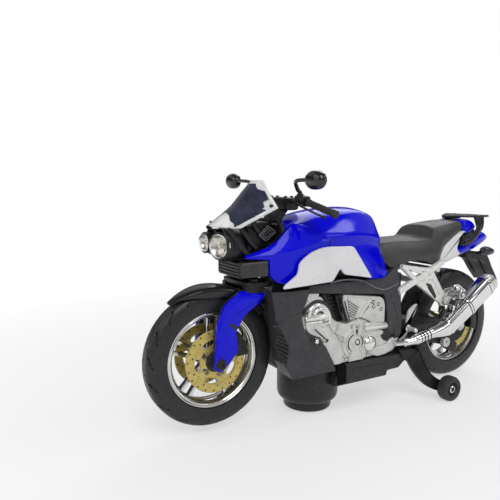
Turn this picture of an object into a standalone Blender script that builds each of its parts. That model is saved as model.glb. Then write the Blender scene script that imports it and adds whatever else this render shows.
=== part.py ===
"""Battery toy street motorcycle: wheels on axles, a bump-and-go drive pod under the belly, two outrigger wheels.

X is forward, Y is the rider's left, Z is up, and the floor is Z = 0.  Sizes below are millimetres.
"""
import math

import bpy
import bmesh
from mathutils import Vector

MM = 0.001
GAP = 0.3

# ---- driving sizes -------------------------------------------------------------------------------
WHEELBASE = 188.0
FRONT_R = 38.0
FRONT_TYRE_W = 13.0
FRONT_LIFT = 3.5
REAR_R = 38.4
REAR_TYRE_W = 20.0
REAR_LIFT = 0.4
RIM_LIP = 27.0
RIM_WALL = 1.8
AXLE_R = 1.6
DISC_R = 17.7
DISC_T = 1.0
LEG_IN = 9.6
LEG_T = 6.0
GUARD_GAP = 2.0
GUARD_T = 1.5
CORE_HALF = 15.0
FRAME_HALF = 23.0
ENGINE_HALF = 24.0
COWL_HALF = 25.0
TANK_HALF = 25.5
PANEL_T = 2.0
WALL = 1.6
PAN_HALF = 24.3
PAN_BOTTOM = 18.6
PAN_TOP = 31.2
CELL_R = 5.2
CELL_LEN = 44.0
POD_X = 26.4
POD_R = 14.7
POD_HIGH = 16.6
HOUSING_R = 18.9
HOUSING_LOW = 6.4
HOUSING_TOP = 27.6
MOTOR_LOW = 36.4
DRIVE_R = 6.6
DRIVE_W = 4.0
DRIVE_Y = 8.4
ARM_X = -56.4
CASTER_R = 8.0
CASTER_W = 7.0
CASTER_Y = 39.8
BAR_R = 1.0
BAR_END = 44.5
MIRROR_Y = 44.0
MUFFLER_Y = 29.0
PORT_R = 2.3
MUFFLER_TALL = 13.6
MUFFLER_WIDE = 10.8
SLEEVE_D = 6.0

# ---- places that follow from the sizes -----------------------------------------------------------
FX = WHEELBASE / 2
FZ = FRONT_R + FRONT_LIFT
RX = -WHEELBASE / 2
RZ = REAR_R + REAR_LIFT
TAIL_END = 141.3
CORE_REAR = -38.0
TANK_REAR = -15.5
COVER_TOP = 81.0
TANK_FRONT = FX - 45.5
SHIFT = (TAIL_END - (FX + FRONT_R)) / 2

SHOW = None
CUTTERS = None


# ---- making solids -------------------------------------------------------------------------------
def start_empty():
    """Clears the file and makes the two collections."""
    global SHOW, CUTTERS
    for obj in list(bpy.data.objects):
        bpy.data.objects.remove(obj, do_unlink=True)
    SHOW = bpy.data.collections.new("toy_motorcycle")
    CUTTERS = bpy.data.collections.new("cutters")
    bpy.context.scene.collection.children.link(SHOW)
    bpy.context.scene.collection.children.link(CUTTERS)


def solid(name, verts, faces, origin=(0, 0, 0)):
    """A closed mesh object from millimetre points, with its origin at the given place."""
    place = Vector(origin)
    mesh = bpy.data.meshes.new(name)
    points = [((Vector(v) - place) * MM)[:] for v in verts]
    mesh.from_pydata(points, [], faces)
    bm = bmesh.new()
    bm.from_mesh(mesh)
    bmesh.ops.remove_doubles(bm, verts=bm.verts, dist=1e-6)
    bmesh.ops.recalc_face_normals(bm, faces=bm.faces)
    bm.to_mesh(mesh)
    bm.free()
    obj = bpy.data.objects.new(name, mesh)
    obj.location = (place + Vector((SHIFT, 0, 0))) * MM
    SHOW.objects.link(obj)
    return obj


def prism(name, outline, y0, y1, origin=(0, 0, 0)):
    """A side outline of (x, z) points pushed through from y0 to y1."""
    n = len(outline)
    verts = [(x, y0, z) for x, z in outline] + [(x, y1, z) for x, z in outline]
    faces = [tuple(range(n)), tuple(reversed(range(n, 2 * n)))]
    faces += [(i, (i + 1) % n, n + (i + 1) % n, n + i) for i in range(n)]
    return solid(name, verts, faces, origin)


def box(name, x0, x1, y0, y1, z0, z1, origin=(0, 0, 0)):
    """A plain box between two corners."""
    return prism(name, [(x0, z0), (x1, z0), (x1, z1), (x0, z1)], y0, y1, origin)


def turn(name, profile, axis, centre, steps=40, closed=False, origin=None):
    """A solid of revolution: profile is (radius, along) points, closed for a ring, else it runs axis to axis."""
    frames = {"X": ((0, 1, 0), (0, 0, 1), (1, 0, 0)), "Y": ((0, 0, 1), (1, 0, 0), (0, 1, 0)),
              "Z": ((1, 0, 0), (0, 1, 0), (0, 0, 1))}
    u, v, w = (Vector(a) for a in frames[axis])
    c = Vector(centre)
    n = len(profile)
    verts = []
    for k in range(steps):
        a = 2 * math.pi * k / steps
        for r, t in profile:
            verts.append(c + u * (r * math.cos(a)) + v * (r * math.sin(a)) + w * t)
    faces = []
    last = n if closed else n - 1
    for k in range(steps):
        for i in range(last):
            j = (i + 1) % n
            m = (k + 1) % steps
            faces.append((k * n + i, m * n + i, m * n + j, k * n + j))
    return solid(name, verts, faces, centre if origin is None else origin)


def rod(name, radius, start, end, axis, centre, steps=24, origin=None):
    """A plain cylinder along one axis."""
    profile = [(0, start), (radius, start), (radius, end), (0, end)]
    return turn(name, profile, axis, centre, steps, False, origin)


def loft(name, rings, origin=(0, 0, 0)):
    """A skin through closed rings of points, with flat ends."""
    n = len(rings[0])
    verts = [p for ring in rings for p in ring]
    faces = [tuple(range(n)), tuple(reversed(range((len(rings) - 1) * n, len(rings) * n)))]
    for k in range(len(rings) - 1):
        for i in range(n):
            j = (i + 1) % n
            faces.append((k * n + i, k * n + j, (k + 1) * n + j, (k + 1) * n + i))
    return solid(name, verts, faces, origin)


def sweep(name, path, sizes, n=12, tall=1.0, origin=(0, 0, 0)):
    """A round or oval bar along a path of points; sizes gives the radius at each point."""
    pts = [Vector(p) for p in path]
    rings = []
    for i, p in enumerate(pts):
        a = pts[max(i - 1, 0)]
        b = pts[min(i + 1, len(pts) - 1)]
        along = (b - a).normalized()
        side = Vector((0, 0, 1)).cross(along)
        if side.length < 0.2:
            side = Vector((0, 1, 0))
        side.normalize()
        up = along.cross(side)
        ring = []
        for k in range(n):
            t = 2 * math.pi * k / n
            ring.append(p + side * (sizes[i] * math.cos(t)) + up * (sizes[i] * tall * math.sin(t)))
        rings.append(ring)
    return loft(name, rings, origin)


def hide_away(obj):
    """Moves a helper solid to the cutters collection."""
    for coll in list(obj.users_collection):
        coll.objects.unlink(obj)
    CUTTERS.objects.link(obj)
    obj.hide_render = True
    obj.display_type = "WIRE"


def combine(obj, others, how):
    """Adds exact boolean steps of one kind for each helper solid."""
    for other in others:
        step = obj.modifiers.new(how.lower(), "BOOLEAN")
        step.operation = how
        step.solver = "EXACT"
        step.object = other
        hide_away(other)
    return obj


def join(obj, *others):
    """Welds helper solids onto a solid."""
    return combine(obj, others, "UNION")


def cut(obj, *others):
    """Takes helper solids out of a solid."""
    return combine(obj, others, "DIFFERENCE")


def soften(obj, width, segments=2, angle=35):
    """Rounds the sharper edges."""
    step = obj.modifiers.new("bevel", "BEVEL")
    step.width = width * MM
    step.segments = segments
    step.limit_method = "ANGLE"
    step.angle_limit = math.radians(angle)
    return obj


def flip(outline, side):
    """Side +1 keeps a pair of y limits, side -1 mirrors them."""
    a, b = outline
    return (a, b) if side > 0 else (-b, -a)


def paint(obj, colour, rough=0.45, metal=0.0):
    """Gives the piece its own material."""
    material = bpy.data.materials.new(obj.name + "_finish")
    material.use_nodes = True
    shader = material.node_tree.nodes["Principled BSDF"]
    shader.inputs["Base Color"].default_value = (*colour, 1.0)
    shader.inputs["Roughness"].default_value = rough
    shader.inputs["Metallic"].default_value = metal
    material.diffuse_color = (*colour, 1.0)
    obj.data.materials.append(material)
    return obj


BLUE = (0.01, 0.02, 0.55)
BLACK = (0.02, 0.02, 0.022)
DARK = (0.06, 0.06, 0.07)
SILVER = (0.62, 0.62, 0.6)
PEARL = (0.75, 0.76, 0.74)
CHROME = (0.85, 0.85, 0.86)
GOLD = (0.6, 0.47, 0.14)


# ---- wheels --------------------------------------------------------------------------------------
def tyre(name, radius, width, centre):
    """A round-crowned tyre ring."""
    half = width / 2
    seat = RIM_LIP + GAP
    profile = [(seat, -half * 0.84), (seat + 2.4, -half * 0.97), (radius - 5.0, -half)]
    for k in range(5):
        a = math.pi * (k / 4 - 0.5)
        drop = 1 - math.cos(a)
        profile.append((radius - drop * min(5.0, half * 0.62), half * math.sin(a) * 0.985))
    profile += [(radius - 5.0, half), (seat + 2.4, half * 0.97), (seat, half * 0.84)]
    bead = half * 0.84 - 0.9 - GAP * 1.5
    inner = RIM_LIP - 2.2
    profile += [(seat, bead), (inner, half * 0.6 - GAP), (inner, GAP - half * 0.6), (seat, -bead)]
    tidy = []
    for p in profile:
        if not tidy or (abs(p[0] - tidy[-1][0]) + abs(p[1] - tidy[-1][1])) > 0.15:
            tidy.append(p)
    obj = turn(name, tidy, "Y", centre, 44, True)
    return paint(obj, BLACK, 0.8)


def spoke_pair(name, number, count, centre, hub_r, reach, half_y):
    """One double spoke: two flat bars that leave the hub side by side."""
    mid = 2 * math.pi * (number + 0.32) / count
    pieces = []
    for side in (-1, 1):
        corners = []
        for r, lean, width in ((hub_r, 0.36, -1.2), (reach, 0.135, -0.95), (reach, 0.135, 0.95),
                               (hub_r, 0.36, 1.2)):
            a = mid + side * lean
            x = r * math.cos(a) - width * math.sin(mid)
            z = r * math.sin(a) + width * math.cos(mid)
            corners.append((centre[0] + x, centre[2] + z))
        pieces.append(prism(name + str(side), corners, -half_y, half_y))
    return pieces


def rim(name, width, centre, hub_half, steps=40):
    """A drop-centre rim with five double spokes and a bored hub."""
    half = width / 2
    lip = half * 0.84
    well = RIM_LIP - 2.2 - GAP
    profile = [(RIM_LIP, -lip), (RIM_LIP, -lip + 0.9), (well, -half * 0.6 - GAP * 0.2),
               (well, half * 0.6 + GAP * 0.2),
               (RIM_LIP, lip - 0.9), (RIM_LIP, lip), (RIM_LIP - RIM_WALL, lip),
               (well - RIM_WALL, half * 0.35),
               (well - RIM_WALL, -half * 0.35), (RIM_LIP - RIM_WALL, -lip)]
    body = turn(name, profile, "Y", centre, steps, True)
    helpers = []
    for k in range(5):
        helpers += spoke_pair(name + "_spoke" + str(k), k, 5, centre, 4.6, well - 0.9, 1.7)
    helpers.append(rod(name + "_hub", 6.0, -hub_half, hub_half, "Y", centre, 20))
    join(body, *helpers)
    cut(body, rod(name + "_bore", AXLE_R + GAP, -half - 4, half + 4, "Y", centre, 16))
    return paint(body, SILVER, 0.25, 0.9)


def brake_disc(name, inner_y, outer_y, centre, carrier_y):
    """A drilled brake disc with five long slots on a dark centre boss."""
    lo, hi = min(inner_y, outer_y), max(inner_y, outer_y)
    profile = [(AXLE_R + GAP, lo), (DISC_R, lo), (DISC_R, hi), (7.4, hi), (7.4, carrier_y),
               (AXLE_R + GAP, carrier_y)]
    if carrier_y < lo:
        profile = [(AXLE_R + GAP, hi), (DISC_R, hi), (DISC_R, lo), (7.4, lo), (7.4, carrier_y),
                   (AXLE_R + GAP, carrier_y)]
    body = turn(name, profile, "Y", centre, 36, True)
    c = Vector(centre)
    cutters = []
    for k in range(5):
        mid = 2 * math.pi * (k + 0.1) / 5
        ring = []
        for r, turn_by in ((9.4, -0.26), (9.4, 0.0), (9.4, 0.26), (10.8, 0.36), (12.2, 0.26), (12.2, 0.0),
                           (12.2, -0.26),
                           (10.8, -0.36)):
            a = mid + turn_by
            ring.append((c.x + r * math.cos(a), c.z + r * math.sin(a)))
        cutters.append(prism(name + "_slot" + str(k), ring, lo - 1, hi + 1))
    return paint(cut(body, *cutters), GOLD, 0.35, 0.7)


def front_wheel():
    """Front tyre, rim and the two discs on the rim's sides."""
    centre = (FX, 0, FZ)
    tyre("front_tyre", FRONT_R, FRONT_TYRE_W, centre)
    rim("front_rim", FRONT_TYRE_W, centre, FRONT_TYRE_W / 2 - 0.6)
    face = FRONT_TYRE_W / 2 + 0.8
    boss = LEG_IN - GAP
    brake_disc("front_disc_left", face, face + DISC_T, centre, boss)
    brake_disc("front_disc_right", -face, -face - DISC_T, centre, -boss)


def rear_wheel():
    """Rear tyre, rim and the single disc on the left."""
    centre = (RX, 0, RZ)
    tyre("rear_tyre", REAR_R, REAR_TYRE_W, centre)
    rim("rear_rim", REAR_TYRE_W, centre, REAR_TYRE_W / 2 - 0.6)
    face = REAR_TYRE_W / 2 - 0.3
    brake_disc("rear_disc", face, face + DISC_T, centre, face + DISC_T + 0.2)


def front_axle():
    """Steel axle with round caps that sit in the fork feet."""
    out = LEG_IN + LEG_T
    profile = [(0, -out - 0.8), (2.7, -out - 0.8), (2.7, -LEG_IN - 0.9), (AXLE_R, -LEG_IN - 0.9),
               (AXLE_R, LEG_IN + 0.9), (2.7, LEG_IN + 0.9), (2.7, out + 0.8), (0, out + 0.8)]
    paint(turn("front_axle", profile, "Y", (FX, 0, FZ), 24), BLACK, 0.4, 0.3)


# ---- front end -----------------------------------------------------------------------------------
def fork_leg(name, side):
    """One boomerang-shaped fork leg with its foot on the axle."""
    y0, y1 = flip((LEG_IN, LEG_IN + LEG_T), side)
    outline = [(FX - 3.8, FZ - 2.4), (FX - 1.6, FZ - 4.4), (FX + 1.4, FZ - 4.4), (FX + 3.4, FZ - 2.4),
               (FX + 2.4, FZ + 8.0), (FX + 1.6, FZ + 21.0), (FX - 3.0, FZ + 31.5), (FX - 13.4, FZ + 38.6),
               (FX - 28.0, FZ + 36.2), (FX - 26.4, FZ + 32.0), (FX - 15.4, FZ + 25.2),
               (FX - 9.6, FZ + 16.6),
               (FX - 11.2, FZ + 5.4)]
    leg = prism(name, outline, y0, y1)
    soften(leg, 0.7, 1)
    slot = [(FX - 7.6, FZ + 18.6), (FX - 3.4, FZ + 16.6), (FX - 3.0, FZ + 19.0), (FX - 7.0, FZ + 21.0)]
    cut(leg, rod(name + "_eye", 2.7 + GAP, -30, 30, "Y", (FX, 0, FZ), 24),
        prism(name + "_slot", slot, -40, 40))
    return paint(leg, BLUE, 0.25)


def front_caliper(name, side):
    """A brake caliper that straddles the rear edge of the front disc, hung inside the fork leg."""
    face = FRONT_TYRE_W / 2 + 0.8
    y0, y1 = flip((face - 0.9, LEG_IN - GAP), side)
    turned = math.radians(152)
    c = Vector((FX, 0, FZ))
    ring = []
    for r, a in ((12.6, -24), (18.9, -27), (20.4, -8), (20.4, 10), (18.9, 25), (12.6, 24)):
        t = turned + math.radians(a)
        ring.append((c.x + r * math.cos(t), c.z + r * math.sin(t)))
    body = prism(name, ring, y0, y1)
    s0, s1 = flip((face - GAP, face + DISC_T + GAP), side)
    slot = turn(name + "_gap", [(0, s0), (DISC_R + GAP, s0), (DISC_R + GAP, s1), (0, s1)], "Y", (FX, 0, FZ),
                48)
    return paint(cut(body, slot), BLACK, 0.5)


def mudguard():
    """A front mudguard that wraps the tyre crown, with side skirts and a pointed nose."""
    inner = FRONT_R + GUARD_GAP
    half = LEG_IN - 1.1
    rings = []
    for k in range(15):
        f = k / 14
        a = math.radians(54 + f * 88)
        wide = half * min(1.0, 0.35 + f * 3.6)
        drop = 4.6 * min(1.0, 0.1 + f * 3.2)
        ring = []
        for r, y in ((inner - drop, -wide), (inner - 0.6, -wide), (inner + GUARD_T * 0.6, -wide * 0.86),
                     (inner + GUARD_T, -wide * 0.45),
                     (inner + GUARD_T, wide * 0.45), (inner + GUARD_T * 0.6, wide * 0.86),
                     (inner - 0.6, wide), (inner - drop, wide),
                     (inner - drop, wide - 1.1), (inner - 0.7, wide - 1.1), (inner, wide * 0.7),
                     (inner, -wide * 0.7),
                     (inner - 0.7, -wide + 1.1), (inner - drop, -wide + 1.1)):
            ring.append((FX + r * math.cos(a), y, FZ + r * math.sin(a)))
        rings.append(ring)
    return paint(loft("front_mudguard", rings), BLACK, 0.35)


def fork_bridge():
    """The black yoke that carries the fork legs and the steering head over the mudguard."""
    top = FZ + FRONT_R + GUARD_GAP + GUARD_T + 0.8
    half = LEG_IN + LEG_T - 0.4
    yoke = loft("fork_bridge", [[(FX - 29.4, -w, z), (front, -w, z), (front, w, z), (FX - 29.4, w, z)]
                                for front, w, z in ((FX - 16.0, half, top - 3.0),
                                                    (FX - 16.6, half, top - 1.4),
                                                    (FX - 19.0, 6.2, top + 3.2))])
    head = prism("bridge_head", [(FX - 29.4, top), (FX - 19.0, top), (FX - 18.4, top + 3.2),
                                 (FX - 18.4, top + 11.6),
                                 (FX - 29.4, top + 11.6)], -5.6, 5.6)
    legs = []
    for side in (-1, 1):
        y0, y1 = flip((LEG_IN + GAP, LEG_IN + LEG_T - 0.6), side)
        legs.append(box("bridge_ear" + str(side), FX - 25, FX - 15, y0, y1, FZ + 35.0, top))
    join(yoke, head, *legs)
    clear = rod("bridge_clear", FRONT_R + GUARD_GAP + GUARD_T + 0.4, -40, 40, "Y", (FX, 0, FZ), 48)
    cut(yoke, clear)
    for side in (-1, 1):
        y0, y1 = flip((LEG_IN - GAP, LEG_IN + LEG_T + GAP), side)
        outline = [(FX - 2.4, FZ + 31.8), (FX - 13.4, FZ + 38.9), (FX - 28.4, FZ + 36.5),
                   (FX - 28.4, FZ + 20),
                   (FX - 2.4, FZ + 20)]
        cut(yoke, prism("bridge_seat" + str(side), outline, y0, y1))
    return paint(yoke, BLACK, 0.5)


def headlight():
    """The nacelle with two unequal round bowls, and the joined pair of domed lenses."""
    face = FX - 5.0
    z_mid = FZ + 62.8
    rings = [[(face - depth, y * s, z_mid + z * s) for y, z in nacelle_ring()]
             for depth, s in ((13.0, 0.82), (9.0, 0.97), (1.0, 1.0), (0.0, 0.95))]
    shell = loft("headlight_housing", rings)
    bowls = []
    spots = ((1, 6.6, 6.6, z_mid, 2.6), (-1, 4.6, 6.4, z_mid + 1.2, 4.2))
    for side, r, y, z, out in spots:
        bowls.append(rod("bowl" + str(side), r, -4.0, 2.0, "X", (face, side * y, z), 24))
    cut(shell, *bowls)
    paint(shell, BLACK, 0.4)
    domes = []
    for side, r, y, z, out in spots:
        lens = r - GAP
        profile = [(0, -3.6), (lens, -3.6), (lens, 0.3), (lens * 0.9, 0.3 + out * 0.5),
                   (lens * 0.62, 0.3 + out * 0.85),
                   (0, 0.3 + out)]
        domes.append(turn("headlight_lens" if side > 0 else "dome", profile, "X", (face, side * y, z), 24,
                          origin=(face, 0, z_mid)))
    bar = box("lens_bar", face + 0.35, face + 1.9, -5.0, 4.0, z_mid - 2.2, z_mid + 3.4)
    join(domes[0], bar, domes[1])
    return paint(domes[0], (0.8, 0.82, 0.85), 0.1)


def nacelle_ring():
    """Front outline of the nacelle, as (y, z) about its middle."""
    return [(0, 7.6), (4, 9.7), (9, 9.2), (13.0, 5.0), (14.0, 0), (13.0, -5.0), (9, -8.2), (4, -8.2),
            (0, -6.4),
            (-4, -5.8), (-9, -5.4), (-12.0, -1.5), (-12.0, 4.0), (-9, 8.2), (-4, 8.7)]


def nose_grille():
    """The slatted chin piece under the headlights."""
    body = loft("nose_grille", [
        [(FX - 18.0, y, z) for y, z in ((-12.4, FZ + 45.4), (12.4, FZ + 45.4), (12.4, FZ + 53.6),
                                        (-12.4, FZ + 53.6))],
        [(FX - 12.4, y, z) for y, z in ((-12.4, FZ + 45.0), (12.4, FZ + 45.0), (12.4, FZ + 54.0),
                                        (-12.4, FZ + 54.0))]])
    slits = []
    for k in range(4):
        z = FZ + 46.9 + k * 1.7
        slits.append(box("slit" + str(k), FX - 13.4, FX - 11, -11.2, 11.2, z, z + 0.7))
    return paint(cut(body, *slits), BLACK, 0.55)


def nose_cheek(name, side):
    """The smooth cover that runs back from the chin to the tank wing."""
    plan = [(FX - 12.6, 12.9), (FX - 12.8, 13.6), (FX - 26.0, 20.8), (FX - 26.2, 17.6), (FX - 17.0, 12.9)]
    rings = [[(x, y * side, z + (FX - 12 - x) * 0.1) for x, y in plan] for z in (FZ + 45.2, FZ + 53.4)]
    return paint(loft(name, rings), BLACK, 0.55)


def groove(name, a, b, deep, tall):
    """A thin bar between two points used to cut a groove."""
    along = (b - a).normalized()
    side = Vector((0, 0, 1)).cross(along).normalized() * deep
    up = Vector((0, 0, tall / 2))
    rings = [[p - side - up, p + side - up, p + side + up, p - side + up] for p in (a, b)]
    return loft(name, rings)


def windscreen():
    """A swept-back fly screen, bowed forward, widest near its middle."""
    rows = [(FX - 2.0, 18.0, 7.2, FZ + 73.2), (FX - 8.5, 19.1, 12.0, FZ + 78.4),
            (FX - 15.0, 20.2, 16.8, FZ + 83.7),
            (FX - 21.6, 14.0, 8.9, FZ + 91.0), (FX - 28.2, 6.6, 2.6, FZ + 98.3)]
    thick = 0.9
    n = 9
    front = []
    back = []
    for x, wide, sweep_back, z in rows:
        for k in range(n):
            s = -1 + 2 * k / (n - 1)
            drop = sweep_back * abs(s) ** 1.7
            front.append(Vector((x - drop, wide * s, z)))
            back.append(Vector((x - drop - thick, wide * s, z - thick * 0.8)))
    m = len(rows)
    verts = front + back
    faces = []
    for r in range(m - 1):
        for k in range(n - 1):
            i = r * n + k
            faces.append((i, i + 1, i + n + 1, i + n))
            j = m * n + i
            faces.append((j, j + n, j + n + 1, j + 1))
    edge = [k for k in range(n)] + [r * n + n - 1 for r in range(1,
                                                                 m)] + [(m - 1) * n + k for k in range(n - 2, -1, -1)]
    edge += [r * n for r in range(m - 2, 0, -1)]
    for i, e in enumerate(edge):
        f = edge[(i + 1) % len(edge)]
        faces.append((e, m * n + e, m * n + f, f))
    return paint(solid("windscreen", verts, faces), (0.35, 0.38, 0.45), 0.08)


def instrument_pod():
    """The dash block behind the headlight, under the screen."""
    x = FX
    z = FZ
    rings = [[(x - 34.5, y, z + h) for y, h in ((-10, 64.5), (10, 64.5), (9, 74.5), (-9, 74.5))],
             [(x - 27.0, y, z + h) for y, h in ((-12.5, 61.0), (12.5, 61.0), (11, 75.5), (-11, 75.5))],
             [(x - 18.4, y, z + h) for y, h in ((-12.0, 57.0), (12.0, 57.0), (10, 72.6), (-10, 72.6))]]
    return paint(loft("instrument_pod", rings), BLACK, 0.5)


def bar_line():
    """Middle and end of the left half of the bar."""
    z_mid = FZ + 85.6
    return Vector((FX - 49.0, 20, z_mid + 1.4)), Vector((FX - 51.8, BAR_END, z_mid - 5.2))


def handlebar():
    """One-piece bar with clamp, switch boxes and levers."""
    inner, outer = bar_line()
    x, z = inner.x, inner.z
    path = [(outer.x, -outer.y, outer.z), (x, -inner.y, z), (x + 2, -10, z - 1.0), (x + 2, 10, z - 1.0),
            (x, inner.y, z),
            (outer.x, outer.y, outer.z)]
    bar = sweep("handlebar", path, [BAR_R] * 6, 10)
    parts = []
    for side in (-1, 1):
        parts.append(loft("switch" + str(side), [
            [(x - 3.0, side * 17.0, z - 3.0), (x + 4.4, side * 17.0, z - 3.0),
             (x + 4.4, side * 17.0, z + 3.0),
             (x - 3.0, side * 17.0, z + 3.0)],
            [(x - 3.0, side * 22.8, z - 3.4), (x + 3.6, side * 22.8, z - 3.4),
             (x + 3.6, side * 22.8, z + 2.4),
             (x - 3.0, side * 22.8, z + 2.4)]]))
        lever = [(x + 3.4, side * 21, z - 1.0), (x + 6.2, side * 25, z - 2.4),
                 (x + 5.6, side * 34, z - 5.0),
                 (x + 3.0, side * 43, z - 8.2)]
        parts.append(sweep("lever" + str(side), lever, [1.2, 0.9, 0.8, 0.7], 8))
    parts.append(box("clamp", x - 3.5, x + 6.0, -11.0, 11.0, z - 6.0, z + 1.6))
    parts.append(prism("stem_top", [(FX - 42.8, FZ + 66.4), (FX - 36.8, FZ + 65.0), (FX - 38.0, FZ + 76),
                                    (FX - 42.0, FZ + 81.6),
                                    (FX - 49, FZ + 81.6), (FX - 44.4, FZ + 76)], -6.0, 6.0))
    join(bar, *parts)
    return paint(bar, BLACK, 0.5)


def grip(name, side):
    """A soft tube over the end of the bar."""
    inner, outer = bar_line()
    a = Vector((inner.x, inner.y * side, inner.z))
    b = Vector((outer.x, outer.y * side, outer.z))
    along = (b - a).normalized()
    start = 3.9
    path = [a + along * start, a + along * (start + 1.0), a + along * 20.0, a + along * 21.0,
            b + along * 1.0]
    body = sweep(name, path, [2.2, 1.8, 1.8, 2.2, 2.2], 14)
    bore = [a + along * 1.0, b + along * GAP]
    cut(body, sweep(name + "_bore", bore, [BAR_R + GAP] * 2, 14))
    return paint(body, BLACK, 0.8)


def mirror(name, side):
    """An oval mirror on a bent stem that rises from the switch box."""
    z = FZ + 98.0
    centre = Vector((FX - 38.4, side * MIRROR_Y, z))
    rings = []
    for t, s in ((-2.6, 0.6), (-2.0, 0.92), (-0.4, 1.0), (1.4, 0.86), (2.6, 0.5)):
        ring = []
        for k in range(18):
            a = 2 * math.pi * k / 18
            ring.append(centre + Vector((t, 7.6 * s * math.cos(a), 4.9 * s * math.sin(a))))
        rings.append(ring)
    head = loft(name, rings)
    inner, outer = bar_line()
    foot = inner + Vector((1.6, -1.0, 3.0 + GAP + 0.5))
    stem = [(foot.x, side * foot.y, foot.z), (foot.x + 2.6, side * 20.0, foot.z + 3.4),
            (foot.x + 6.8, side * 24.5, z - 0.8),
            (centre.x - 0.4, side * (MIRROR_Y - 6.4), z)]
    join(head, sweep(name + "_stem", stem, [1.3, 1.2, 1.1, 1.1], 8))
    return paint(head, BLACK, 0.3)


# ---- bodywork ------------------------------------------------------------------------------------
def tank_ring(x, top, shoulder, wide, low, low_half, inset=0.0):
    """One cross-section of the tank: crown, shoulders and side flaps."""
    t = top - inset
    w = wide - inset
    s = shoulder - inset * 0.5
    half = [(0, t), (w * 0.34, t - 0.6), (w * 0.66, t - 3.2), (w * 0.93, s + 3.0), (w, s),
            (w * 0.955, s - 5.0),
            (low_half - inset, low)]
    ring = [(x, y, z) for y, z in half] + [(x, -y, z) for y, z in reversed(half[1:])]
    return ring


def tank():
    """Blue tank cover: humped saddle, open beneath, with a pointed wing on each side."""
    half = TANK_HALF
    shares = [(0.0, 113.0, 104.0, half - 8.5, 83.2, half - 1.4), (0.086, 121.0, 106.0, half - 4.5, 81.4,
                                                                  half - 0.3),
              (0.242, 123.4, 108.5, half - 1.5, 81.8, half), (0.43, 123.6, 109.5, half + 0.5, 86.0, half),
              (0.648, 122.4, 109.5, half + 1.1, 89.0, half), (0.836, 119.8, 109.0, half + 0.9, 91.0, half),
              (1.0, 115.6, 107.0, half + 0.1, 93.0, half - 0.3)]
    rows = [(TANK_REAR + share * (TANK_FRONT - TANK_REAR), *rest) for share, *rest in shares]
    outer = loft("tank_cover", [tank_ring(*row) for row in rows])
    hollow = []
    for x, top, shoulder, wide, low, low_half in rows:
        hollow.append(tank_ring(x, top, shoulder, wide, low - 12, low_half, 2.2))
    first = [(TANK_REAR + 2.5, y, z) for _, y, z in hollow[0]]
    last = [(TANK_FRONT + 11.5, y, z) for _, y, z in hollow[-1]]
    cavity = loft("tank_cavity", [first] + hollow[1:] + [last])
    room = prism("frame_room", [(20.0, 60.0), (20.0, COVER_TOP + GAP), (-6.0, COVER_TOP + GAP),
                                (-15.5, COVER_TOP + GAP), (-25.0, 87.4), (-40.0, 87.4), (-40.0, 60.0)],
                 -FRAME_HALF - GAP, FRAME_HALF + GAP)
    cut(outer, cavity)
    cut(outer, room)
    for side in (-1, 1):
        y0, y1 = flip((FRAME_HALF + GAP, half - 0.4), side)
        join(outer, prism("tank_tip" + str(side), [(-9.3, 87.6), (-16.4, 88.6), (-18.6, 84.4),
                                                   (-15.0, 80.2), (-5.6, 81.5)],
                          y0, y1))
        rings = []
        for back, y_low, y_in, y_out, low, top_out, top_in in (
                (50.2, 1.2, 4.3, 0.35, 92.0, 108.2, 113.2), (40.0, 2.2, 4.6, 0.3, 85.6, 105.0, 111.0),
                (31.4, 5.5, 5.5, 1.7, 84.3, 101.0, 105.4), (27.4, 7.1, 7.1, 3.7, 88.4, 99.8, 103.2),
                (26.4, 7.5, 7.5, 4.3, 97.0, 99.4, 102.6), (20.0, 9.9, 9.9, 7.3, 97.4, 98.8, 100.6),
                (15.0, 11.9, 11.9, 10.3, 97.6, 98.4, 98.8)):
            x = FX - back
            near, far = (half - y_in) * side, (half - y_out) * side
            low_near = (half - y_low) * side
            rings.append([(x, low_near, low), (x, far, low), (x, far, top_out), (x, near, top_in)])
        join(outer, loft("wing" + str(side), rings))
    return paint(outer, BLUE, 0.15)


def side_panel(name, side):
    """The pale wing-shaped panel under the tank, with a notch in its lower edge."""
    y0, y1 = flip((TANK_HALF + GAP + 0.2, TANK_HALF + GAP + 0.2 + PANEL_T), side)
    outline = [(FX - 31.4, 81.4), (FX - 32.6, 83.4), (FX - 40.6, 88.8), (FX - 41.2, 92.8),
               (FX - 45.0, 96.8), (FX - 57.0, 102.4),
               (14.4, 101.9), (-0.4, 82.2), (21.0, 86.0), (24.0, 90.2), (29.4, 82.6)]
    panel = prism(name, outline, y0, y1)
    soften(panel, 0.5, 1)
    return paint(panel, PEARL, 0.25)


def body_outline():
    """Side outline of the main body core."""
    return [(CORE_REAR, 40.0), (-30.0, 36.0), (20.0, 32.0), (26.0, 34.0), (43.5, 66.0), (42.4, 81.8),
            (FX - 32.0, 84.2),
            (FX - 30.5, FZ + 44.0), (FX - 32.5, FZ + 60.0), (FX - 38.0, 106.0), (20.0, 112.0), (0.0, 108.0),
            (-8.0, 90.0), (-12.0, 81.9), (CORE_REAR + 2.0, COVER_TOP)]


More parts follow.
